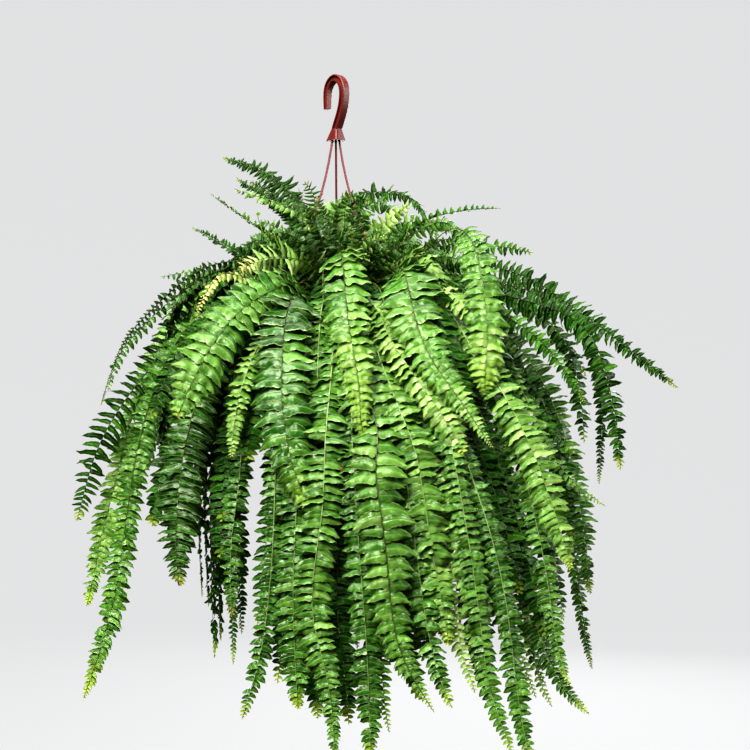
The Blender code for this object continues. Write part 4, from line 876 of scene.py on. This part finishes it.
# Smaller fronds that are only shown: name, half-width, twist to the front, how far out, tone, points
MORE = [
    ("top_07", 6, 0.55, 0.3, 3.8, [(318, 262, -20), (309, 224, -24), (305, 210, -26), (302, 198, -28), (298, 188, -30)]),
    ("top_09", 8, 0.45, 0.4, 3.2, [(322, 268, -10), (305, 219, -6), (286, 207, 0), (272, 201, 4), (250, 194, 10), (234, 189, 14)]),
    ("top_10", 12, 0.65, 0.3, 0.8, [(326, 270, 40), (300, 232, 70), (284, 206, 84), (268, 190, 92), (250, 182, 98)]),
    ("top_11", 13, 0.65, 0.3, 0.9, [(330, 268, 50), (318, 236, 70), (300, 215, 86), (283, 205, 96), (268, 204, 102)]),
    ("top_12", 12, 0.75, 0.2, 1.0, [(345, 268, 30), (350, 228, 40), (360, 210, 44), (376, 202, 46), (390, 208, 46), (398, 224, 44)]),
    ("top_13", 11, 0.75, 0.2, 1.0, [(334, 270, -20), (333, 226, -34), (338, 206, -38), (347, 197, -40), (358, 196, -40), (370, 203, -38)]),
    ("top_14", 12, 0.65, 0.4, 1.2, [(352, 270, 20), (372, 240, 26), (392, 226, 30), (412, 222, 34), (430, 228, 36), (440, 242, 36)]),
    ("top_15", 12, 0.65, 0.3, 1.0, [(360, 272, 40), (392, 236, 60), (420, 222, 70), (446, 222, 76), (466, 232, 80)]),
    ("top_16", 13, 0.75, 0.4, 1.6, [(318, 276, -20), (300, 250, -30), (284, 234, -34), (270, 224, -36), (258, 222, -38)]),
    ("top_17", 13, 0.8, 0.3, 1.2, [(330, 272, -30), (318, 248, -44), (304, 236, -50), (290, 232, -54), (276, 238, -56)]),
    ("top_18", 12, 0.75, 0.3, 0.9, [(328, 268, -6), (326, 240, -10), (318, 222, -12), (308, 214, -14), (296, 214, -16)]),
    ("top_19", 12, 0.8, 0.3, 0.8, [(336, 266, -30), (338, 244, -38), (332, 226, -42), (320, 216, -44), (308, 218, -46)]),
    ("top_20", 12, 0.8, 0.3, 1.1, [(350, 268, -36), (360, 244, -50), (372, 234, -58), (384, 234, -62), (396, 242, -64)]),
    ("top_22", 12, 0.8, 0.4, 1.4, [(372, 276, 0), (400, 246, 4), (424, 228, 6), (440, 222, 8), (452, 226, 10), (462, 240, 10)]),
    ("top_23", 12, 0.75, 0.4, 1.0, [(384, 276, 10), (420, 254, 20), (440, 241, 24), (453, 239, 26), (464, 243, 28), (472, 256, 28)]),
    ("top_27", 13, 0.8, 0.2, 0.3, [(330, 270, -52), (322, 240, -62), (312, 218, -64), (300, 206, -64), (288, 204, -62)]),
    ("top_28", 13, 0.8, 0.2, 0.2, [(344, 268, -52), (350, 236, -64), (352, 214, -66), (350, 202, -66), (342, 196, -64)]),
    ("top_30", 13, 0.8, 0.2, 0.4, [(324, 276, -54), (310, 252, -68), (296, 238, -74), (282, 232, -74), (268, 236, -72)]),
    ("top_31", 12, 0.8, 0.2, 0.1, [(338, 268, -54), (334, 240, -66), (328, 222, -70), (320, 208, -70), (316, 196, -68)]),
    ("top_32", 12, 0.8, 0.2, 0.6, [(366, 276, -60), (384, 256, -78), (398, 246, -84), (412, 244, -86), (424, 250, -86)]),
    ("top_33", 13, 0.8, 0.2, 0.3, [(356, 276, -60), (362, 256, -80), (370, 246, -90), (380, 244, -96), (390, 252, -100)]),
    ("top_35", 12, 0.8, 0.2, 0.2, [(366, 280, -60), (370, 258, -76), (376, 246, -84), (386, 240, -90)]),
    ("top_36", 12, 0.8, 0.2, 0.4, [(358, 276, -60), (362, 250, -78), (360, 232, -82), (354, 220, -82), (344, 214, -80)]),
    ("top_37", 12, 0.8, 0.2, 0.3, [(326, 280, -60), (314, 256, -76), (306, 240, -82), (302, 228, -82), (304, 216, -78)]),
    ("top_38", 11, 0.8, 0.2, 3.6, [(358, 274, -60), (354, 248, -84), (350, 232, -90), (346, 222, -90)]),
    ("top_39", 11, 0.8, 0.2, 3.2, [(360, 274, -60), (366, 250, -84), (374, 240, -90), (386, 236, -92)]),
    ("top_24", 12, 0.8, 0.5, 1.2, [(396, 280, -20), (424, 262, -30), (444, 256, -36), (462, 262, -40), (474, 278, -42)]),
    ("top_25", 13, 0.75, 0.4, 0.9, [(300, 276, 20), (276, 250, 26), (262, 240, 28), (248, 244, 30), (238, 256, 30)]),
    ("front_11", 17, 0.5, 0.5, 3.3, [(384, 276, -60), (404, 258, -84), (421, 256, -100), (432, 266, -110), (438, 284, -118), (441, 306, -124)]),
    ("front_12", 15, 0.6, 0.5, 3.6, [(400, 282, -76), (424, 272, -96), (444, 288, -118), (458, 300, -130), (473, 313, -140), (489, 329, -148)]),
    ("front_13", 19, 0.7, 0.6, 3.4, [(374, 296, -110), (386, 330, -160), (405, 362, -188), (421, 385, -197), (436, 405, -203), (450, 427, -207), (464, 454, -210)]),
    ("front_14", 15, 0.6, 0.6, 2.8, [(360, 286, -90), (366, 294, -120), (378, 311, -142), (392, 326, -156), (408, 342, -166), (424, 360, -174)]),
    ("front_15", 13, 0.7, 0.6, 2.2, [(340, 300, -110), (338, 340, -160), (342, 370, -180), (348, 400, -192), (356, 440, -200), (364, 476, -206)]),
    ("left_11", 10, 0.5, 0.6, 4.8, [(268, 290, -40), (240, 276, -64), (221, 274, -74), (210, 286, -80), (202, 301, -84), (195, 317, -86)]),
    ("left_12", 8, 0.2, 0.6, 1.5, [(262, 272, 30), (220, 270, 40), (190, 272, 45), (161, 277, 48)]),
    ("left_13", 9, 0.1, 0.7, 0.7, [(262, 270, 20), (215, 272, 20), (180, 294, 20), (159, 311, 18), (136, 334, 16), (121, 352, 14), (112, 374, 12), (108, 392, 12)]),
    ("low_05", 13, 0.8, 1.0, 1.9, [(400, 300, -120), (440, 400, -195), (465, 520, -222), (480, 620, -228), (488, 682, -230), (497, 712, -231), (513, 755, -231)]),
    ("low_06", 9, 0.8, 1.0, 3.0, [(430, 320, -60), (490, 440, -130), (520, 560, -150), (532, 640, -154), (538, 676, -155), (552, 707, -156)]),
    ("low_07", 10, 0.8, 1.0, 4.2, [(420, 320, -80), (470, 430, -150), (500, 560, -168), (514, 630, -172), (523, 661, -173), (536, 698, -174)]),
    ("low_08", 11, 0.8, 1.0, 4.0, [(392, 310, -115), (425, 430, -190), (445, 540, -212), (455, 610, -218), (460, 643, -220), (475, 693, -221)]),
    ("low_09", 10, 0.8, 1.0, 2.0, [(352, 316, -118), (362, 430, -200), (372, 540, -216), (380, 640, -222), (384, 698, -223), (389, 732, -223)]),
]

# Fronds that hang between two others and behind them: the two, the share of the second, mm nearer to the pot's axis,
# share of the length, tone; below, that tone is lowered by 0.9 as painted shade, since these fronds hang behind the
# others
BETWEEN = [
    ("left_02", "left_06", 0.5, 26, 0.92, 0.9), ("left_02", "left_07", 0.5, 30, 0.80, 1.0), ("left_06", "left_08", 0.4, 34, 0.86, 0.8),
    ("left_03", "front_02", 0.4, 34, 1.0, 1.8), ("left_05", "left_06", 0.5, 26, 0.95, 1.3), ("left_06", "left_09", 0.5, 24, 0.9, 1.0),
    ("left_09", "left_10", 0.5, 26, 0.9, 1.3), ("left_10", "front_08", 0.35, 24, 0.92, 1.6), ("left_10", "front_08", 0.75, 40, 0.86, 1.1),
    ("front_08", "front_07", 0.5, 26, 0.95, 1.5), ("front_07", "low_04", 0.5, 30, 0.92, 1.2), ("low_04", "front_04", 0.5, 30, 0.9, 1.3),
    ("front_04", "low_03", 0.5, 32, 0.97, 1.8), ("low_03", "front_06", 0.5, 26, 0.96, 1.5), ("front_06", "front_05", 0.5, 28, 0.97, 1.7),
    ("front_05", "low_02", 0.5, 26, 0.93, 1.6), ("low_02", "front_10", 0.4, 32, 0.96, 1.2), ("front_10", "low_01", 0.5, 28, 0.93, 1.2),
    ("low_01", "right_12", 0.5, 24, 0.95, 1.5), ("right_12", "right_07", 0.5, 26, 1.0, 1.4), ("right_07", "right_10", 0.35, 26, 1.0, 1.0),
    ("right_11", "right_10", 0.5, 28, 0.95, 0.9), ("right_10", "right_04", 0.4, 30, 0.95, 1.0), ("right_04", "right_08", 0.5, 28, 0.92, 1.0),
    ("right_08", "right_03", 0.5, 24, 0.80, 0.9), ("right_05", "right_06", 0.5, 24, 1.0, 1.2), ("right_06", "right_09", 0.5, 22, 1.0, 1.3),
    ("front_09", "front_02", 0.4, 24, 1.0, 1.4), ("front_03", "front_06", 0.5, 30, 1.0, 1.8), ("front_03", "right_05", 0.5, 26, 1.0, 1.6),
    ("left_01", "left_03", 0.4, 24, 1.0, 1.2), ("left_04", "left_03", 0.5, 20, 1.0, 1.4), ("front_02", "front_08", 0.5, 34, 1.0, 1.3),
    ("front_10", "right_12", 0.5, 34, 0.9, 0.9), ("front_07", "front_09", 0.5, 30, 1.0, 1.5), ("right_07", "front_10", 0.4, 30, 1.0, 1.1),
]


rows = move_clear(midlines())
drawn = {row["name"]: row for row in rows}
for number, row in enumerate(rows):
    style = {**PLAIN, **STYLES.get(row["name"], {})}
    if "back" in row["name"]:
        style = {**style, "tone": 1.4 + 0.35 * (number % 5), "full": 0.74}
    part = frond_mesh(row, style, 100 + number)
    shady = style["stem"] == STRAPS["stem"] and "left_04" not in row["name"]
    piece = object_from("leafy_" + row["name"], [part], DEEP_LEAF if shady else LEAF)
    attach(piece, "root")
    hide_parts(row["name"])


def free_row(name, wide, face, out, points):
    """A row whose root goes where it would grow, without a seat of its own."""
    row = {"name": name, "wide": wide, "face": face, "out": out, "points": points}
    row["seat"] = wished_seat(row)
    root, head, rest = rooted(row)
    row["line"] = np.vstack([root[None], smooth_line([head, *rest], 9.0)])
    return row


def between_row(number, a, b, share, inward, keep):
    """A row along the mean of two others' midlines, nearer to the axis."""
    a, b = drawn["frond_" + a], drawn["frond_" + b]
    line = (1 - share) * spaced(a["line"], 48) + share * spaced(b["line"], 48)
    line = line[: int(round(48 * keep))]
    k = np.clip(np.linspace(0, 1, len(line)) / 0.5, 0, 1) ** 1.5
    r = np.linalg.norm(line[:, :2], axis=1)
    line[:, :2] *= (1 - inward * k / np.maximum(r, 60))[:, None]
    line[:, 2] -= 8 * k * (1 + math.sin(number * 2.1))
    wide = 0.5 * (a["wide"] + b["wide"]) * 0.92
    return {"name": "between_%02d" % number, "wide": min(wide, 22), "face": 0.6, "line": line}


PALE = dict(grid=(10, 4), grid_small=(7, 3), proud=0.3)
INNER = dict(grid=(7, 3), grid_small=(5, 3), proud=0.0, waves=1.2, fat=1.3)
bunch, inner = [], []
for number, (name, wide, face, out, tone, points) in enumerate(MORE):
    row = free_row(name, wide, face, out, [placed(*p) for p in points])
    long = length_of(row["line"])
    style = {**PLAIN, **PALE, "tone": tone, "pitch": 6.8 if long < 190 else 7.8, "full": 0.6 if long < 190 else 0.85}
    if name.startswith("top"):
        style.update(STRAPS, pitch=6.6, lift_vary=20.0, twist_vary=24, grid=(8, 3))
    if name.startswith("low") or name.startswith("front"):
        style.update(stem_colour=PALE_STEM)
    if name in ("left_12", "left_13"):
        style.update(STRAPS, show=0.7)
    if name == "left_11":
        style.update(tip=0.8, tip_colour=CREAM, tone=4.8)
    if name in ("top_23", "top_22", "top_14", "top_15"):
        style.update(hang=0.3)
    bunch.append((name, frond_mesh(row, style, 300 + number)))
for number, (a, b, share, inward, keep, tone) in enumerate(BETWEEN):
    row = between_row(number, a, b, share, inward, keep)
    # painted shade: the tone is lowered by 0.9 to darken fronds that hang behind others
    style = {**PLAIN, **INNER, "tone": tone - 0.9, "tone_tip": 0.3, "pitch": 9.6, "full": 0.85}
    inner.append((row["name"], frond_mesh(row, style, 400 + number)))

def crozier(points, coil, seed):
    """A young frond still rolled up at its tip, as a stem with a coil of two turns."""
    line = smooth_line(points, 3.0)
    end, ahead = line[-1], unit(line[-1] - line[-3])
    out = unit(np.array([ahead[2], 0.0, -ahead[0]]) + 1e-6)
    k = np.linspace(0, 1, 40)[1:]
    turn = k * 2 * math.pi * 1.9
    reach = coil * (1 - 0.72 * k)
    centre = end + out * coil
    spiral = centre + reach[:, None] * (-out * np.cos(turn)[:, None] + ahead * np.sin(turn)[:, None])
    path = np.vstack([line, spiral])
    path[:, 1] += np.concatenate([np.zeros(len(line)), 0.5 * k])
    long = np.concatenate([[0], np.cumsum(np.linalg.norm(np.diff(path, axis=0), axis=1))])
    t = unit(np.gradient(path, axis=0))
    side = unit(np.cross(t, np.array([0.0, 1.0, 0.0])))
    up = np.cross(side, t)
    thick = np.where(np.arange(len(path)) < len(line), 0.5, 1.1 - 0.6 * np.concatenate([np.zeros(len(line)), k]))
    sides = 8
    a = np.arange(sides) * 2 * np.pi / sides
    ring = path[:, None] + thick[:, None, None] * (side[:, None] * np.cos(a)[None, :, None] + up[:, None] * np.sin(a)[None, :, None])
    grid = np.arange(len(path) * sides).reshape(len(path), sides)
    nxt = np.roll(grid, -1, 1)
    share = long / long[-1]
    colour = np.repeat((np.array((0.17, 0.30, 0.05)) * (0.8 + 0.5 * share[:, None]))[:, None], sides, 1)
    place = np.zeros((len(path), sides, 3))
    place[..., 0], place[..., 2] = share[:, None], -1.0
    uv = np.stack([np.repeat(0.02 + 0.96 * share[:, None], sides, 1), np.repeat(0.1 + 0.8 * (np.arange(sides) / sides)[None], len(path), 0)], -1)
    return {
        "verts": ring.reshape(-1, 3),
        "quads": np.stack([grid[:-1], nxt[:-1], nxt[1:], grid[1:]], -1).reshape(-1, 4),
        "caps": [grid[0][::-1], grid[-1]],
        "colour": colour.reshape(-1, 3),
        "leaf": place.reshape(-1, 3),
        "uv": uv.reshape(-1, 2),
    }


for number, (coil, points) in enumerate((
    (1.4, [(300, 284, -60), (284, 256, -84), (276, 240, -88), (272, 224, -88)]),
    (1.5, [(286, 270, -40), (266, 240, -52), (260, 224, -54), (257, 214, -54)]),
    (1.3, [(392, 270, -50), (404, 240, -66), (409, 226, -68), (411, 216, -68)]),
    (1.3, [(384, 262, 60), (396, 226, 84), (404, 206, 92), (408, 196, 94)]),
)):
    bunch.append(("crozier_%d" % number, crozier([placed(*q) for q in points], coil, number)))

# the far side and the flanks, and shorter fronds inside the front
rng = np.random.default_rng(11)
kinds = (
    # how many, from and to in degrees, reach, rise, drop, half-width
    (15, (14, 166), (205, 246), (84, 118), (150, 380), (15, 23)),
    (11, (8, 172), (150, 205), (104, 140), (60, 300), (14, 20)),
    (12, (10, 170), (105, 160), (128, 160), (-30, 110), (11, 15)),
    (10, (-6, 186), (138, 176), (70, 96), (300, 400), (14, 18)),
    (16, (196, 344), (118, 158), (34, 62), (240, 380), (14, 18)),
    (5, (-26, 14), (128, 170), (30, 60), (200, 330), (14, 18)),
    (5, (166, 206), (128, 170), (30, 60), (200, 330), (14, 18)),
)
for kind, (count, turns, reach, rise, drop, width) in enumerate(kinds):
    for k in range(count):
        t = turns[0] + (turns[1] - turns[0]) * (k + 0.5 + 0.35 * rng.standard_normal()) / count
        points = ruled_points(
            t, rng.uniform(*reach), rng.uniform(*rise) * (1 - 0.42 * abs(math.cos(math.radians(t))) ** 1.5), rng.uniform(*drop), rng.uniform(-16, 16)
        )
        wide = rng.uniform(*width)
        row = free_row("far_%d_%02d" % (kind, k), wide, 0.0, 0.4 + 0.4 * (kind in (0, 3)), points)
        # painted shade: the kinds that grow inside the plant, from 3 on, take the darkest tones
        tone = rng.uniform(0.9, 3.0) if kind < 3 else rng.uniform(0.0, 0.4)
        style = {**PLAIN, **(PALE if kind < 2 else INNER), "tone": tone, "pitch": rng.uniform(8.2, 9.6), "full": rng.uniform(0.66, 0.85)}
        (bunch if kind < 3 else inner).append((row["name"], frond_mesh(row, style, 500 + 40 * kind + k)))

for label, group, material in (("small", bunch, LEAF), ("inner", inner, DEEP_LEAF)):
    for k in range(0, len(group), 6):
        piece = object_from("leafy_%s_%02d" % (label, k // 6), [part for _, part in group[k : k + 6]], material)
        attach(piece, "root")

# ---- hanger, pot, soil and crown --------------------------------------------------------------------------


def plastic_material(name, colour, rough, band=0.0):
    """Moulded plastic, a little uneven; with band, a cord's rings every that many mm."""
    m = Nodes(name)
    coords = m.add("TexCoord").outputs["Object"]
    cloud = m.noise(coords, 40.0, 3.0)
    grain = m.noise(coords, 900.0, 2.0)
    tone = m.math("MULTIPLY_ADD", cloud, 0.5, 0.75)
    shade = m.add("CombineColor")
    m.put(shade, _0=tone, _1=tone, _2=tone)
    tint = m.mix(1.0, (*colour, 1.0), shade.outputs[0], "MULTIPLY")
    r = m.math("MULTIPLY_ADD", cloud, 0.2, rough - 0.1)
    height = m.math("MULTIPLY_ADD", grain, 0.5, cloud)
    if band:
        parts = m.add("SeparateXYZ")
        m.put(parts, _0=coords)
        x, y, z = parts.outputs
        along = m.math("MULTIPLY", m.math("MULTIPLY_ADD", m.math("ADD", x, y), 0.4, z), 2 * math.pi / (band * MM))
        ring = m.ramp(m.math("SINE", along), -0.2, 0.8)
        tint = m.mix(m.math("MULTIPLY", ring, 0.55), tint, m.mix(1.0, tint, (0.35, 0.30, 0.30), "MULTIPLY"))
        height = m.math("MULTIPLY_ADD", ring, -1.6, height)
    bump = m.add("Bump")
    m.put(bump, Strength=0.25, Distance=0.0003, Height=height)
    skin = m.add("BsdfPrincipled")
    m.put(skin, Base_Color=tint, Roughness=r, Normal=bump.outputs[0])
    m.put(m.out, Surface=skin.outputs[0])
    return m.mat


def soil_material(name, colour):
    m = Nodes(name)
    coords = m.add("TexCoord").outputs["Object"]
    cloud = m.noise(coords, 90.0, 4.0, 0.7)
    grain = m.noise(coords, 420.0, 4.0, 0.8)
    tone = m.math("MULTIPLY_ADD", grain, 1.4, 0.25)
    shade = m.add("CombineColor")
    m.put(shade, _0=tone, _1=tone, _2=tone)
    tint = m.mix(1.0, (*colour, 1.0), shade.outputs[0], "MULTIPLY")
    tint = m.mix(m.ramp(cloud, 0.6, 0.75), tint, (0.10, 0.065, 0.035, 1.0))
    bump = m.add("Bump")
    m.put(bump, Strength=0.9, Distance=0.002, Height=m.math("ADD", grain, cloud))
    skin = m.add("BsdfPrincipled")
    m.put(skin, Base_Color=tint, Roughness=m.math("MULTIPLY_ADD", cloud, 0.2, 0.78), Normal=bump.outputs[0])
    m.put(m.out, Surface=skin.outputs[0])
    return m.mat


red = plastic_material("hanger_red_plastic", (0.135, 0.018, 0.013), 0.42)
cord = plastic_material("strand_red_plastic", (0.20, 0.030, 0.024), 0.45, band=3.4)
terra = plastic_material("pot_red_plastic", (0.26, 0.06, 0.035), 0.5)
peat = soil_material("potting_mix", (0.045, 0.028, 0.018))
root_brown = soil_material("crown_scales", (0.085, 0.045, 0.02))
for node, mat in (
    ("hanger_hook", red), ("hanger_strand_1", cord), ("hanger_strand_2", cord), ("hanger_strand_3", cord),
    ("pot", terra), ("potting_soil", peat), ("crown", root_brown),
):
    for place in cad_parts[node].material_slots:
        place.material = mat

# ---- stage, light and camera ------------------------------------------------------------------------------


def bowl():
    """A round pale floor that curves up into a wall all round, so that every view has a plain ground."""
    low, reach, bend, top = -1.25, 3.4, 1.6, 3.6
    profile = [(0.0, low), (1.2, low), (2.4, low)]
    for k in range(13):
        a = math.pi / 2 * k / 12
        profile.append((reach + bend * math.sin(a), low + bend * (1 - math.cos(a))))
    profile += [(reach + bend, low + bend + 1.2), (reach + bend, top)]
    turns = 96
    verts, faces = [], []
    for r, z in profile:
        for k in range(turns):
            a = math.tau * k / turns
            verts.append((max(r, 0.001) * math.cos(a), max(r, 0.001) * math.sin(a), z))
    for i in range(len(profile) - 1):
        for k in range(turns):
            n = (k + 1) % turns
            faces.append((i * turns + k, i * turns + n, (i + 1) * turns + n, (i + 1) * turns + k))
    mesh = bpy.data.meshes.new("floor")
    mesh.from_pydata(verts, [], faces)
    mesh.polygons.foreach_set("use_smooth", [True] * len(mesh.polygons))
    obj = bpy.data.objects.new("floor", mesh)
    bpy.context.scene.collection.objects.link(obj)
    m = Nodes("pale_floor")
    skin = m.add("BsdfPrincipled")
    m.put(skin, Base_Color=(0.05, 0.05, 0.0505, 1.0), Roughness=0.95)
    skin.inputs["Emission Color"].default_value = (0.53, 0.532, 0.536, 1.0)
    skin.inputs["Emission Strength"].default_value = 1.0
    skin.inputs["Specular IOR Level"].default_value = 0.1
    m.put(m.out, Surface=skin.outputs[0])
    mesh.materials.append(m.mat)
    return obj


stage = bowl()
stage.visible_diffuse = False
stage.visible_glossy = False


def area(name, at, aim, size, power, colour):
    from mathutils import Vector

    data = bpy.data.lights.new(name, "AREA")
    data.shape = "RECTANGLE"
    data.size, data.size_y = size
    data.energy = power
    data.color = colour
    obj = bpy.data.objects.new(name, data)
    obj.location = at
    obj.rotation_euler = (Vector(aim) - Vector(at)).to_track_quat("-Z", "Y").to_euler()
    bpy.context.scene.collection.objects.link(obj)
    return obj


area("key", (-0.9, -1.9, 1.7), (0.05, 0, -0.35), (1.7, 1.1), 168.0, (1.0, 0.99, 0.97))
area("fill", (1.9, -2.2, 0.5), (0.05, 0, -0.4), (1.6, 1.6), 8.0, (0.98, 0.99, 1.0))
area("top", (0.2, 0.3, 2.3), (0.05, 0, -0.3), (1.6, 1.6), 52.0, (1.0, 1.0, 1.0))

area("side", (2.5, 0.5, 0.5), (0.05, 0, -0.35), (1.4, 1.4), 46.0, (1.0, 1.0, 1.0))
area("back", (0.6, 2.7, 0.1), (0.05, 0, -0.35), (1.6, 1.6), 66.0, (1.0, 1.0, 1.0))

world = bpy.data.worlds.new("studio")
bpy.context.scene.world = world
world.use_nodes = True
sky = world.node_tree
where = sky.nodes.new("ShaderNodeTexCoord")
split = sky.nodes.new("ShaderNodeSeparateXYZ")
share = sky.nodes.new("ShaderNodeMapRange")
share.interpolation_type = "SMOOTHSTEP"
for key, value in ((1, -0.9), (2, 0.9), (3, 0.02), (4, 0.15)):
    share.inputs[key].default_value = value
sky.links.new(where.outputs["Generated"], split.inputs[0])
sky.links.new(split.outputs[2], share.inputs[0])
sky.links.new(share.outputs[0], sky.nodes["Background"].inputs["Strength"])
sky.nodes["Background"].inputs["Color"].default_value = (1.0, 1.0, 1.0, 1.0)

bpy.context.scene.view_settings.view_transform = "Standard"
bpy.context.scene.view_settings.look = "High Contrast"

camera = bpy.data.cameras.new("camera")
camera.sensor_width = 36.0
camera.lens = 18.0 / (375.0 * VIEW_SCALE / VIEW_FAR)
camera.clip_start, camera.clip_end = 0.05, 50.0
eye = bpy.data.objects.new("camera", camera)
eye.location = (VIEW_AXIS[0] * MM, -VIEW_FAR * MM, VIEW_AXIS[1] * MM)
eye.rotation_euler = (math.radians(90), 0, 0)
bpy.context.scene.collection.objects.link(eye)
bpy.context.scene.camera = eye

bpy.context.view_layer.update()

for name, shade in {
    "foliage_leaf": (0.12, 0.30, 0.035),
    "foliage_leaf_inner": (0.05, 0.17, 0.015),
    "hanger_red_plastic": (0.135, 0.018, 0.013),
    "strand_red_plastic": (0.16, 0.024, 0.019),
    "pot_red_plastic": (0.26, 0.06, 0.035),
    "potting_mix": (0.045, 0.028, 0.018),
    "crown_scales": (0.085, 0.045, 0.02),
}.items():
    bpy.data.materials[name].diffuse_color = (*shade, 1.0)
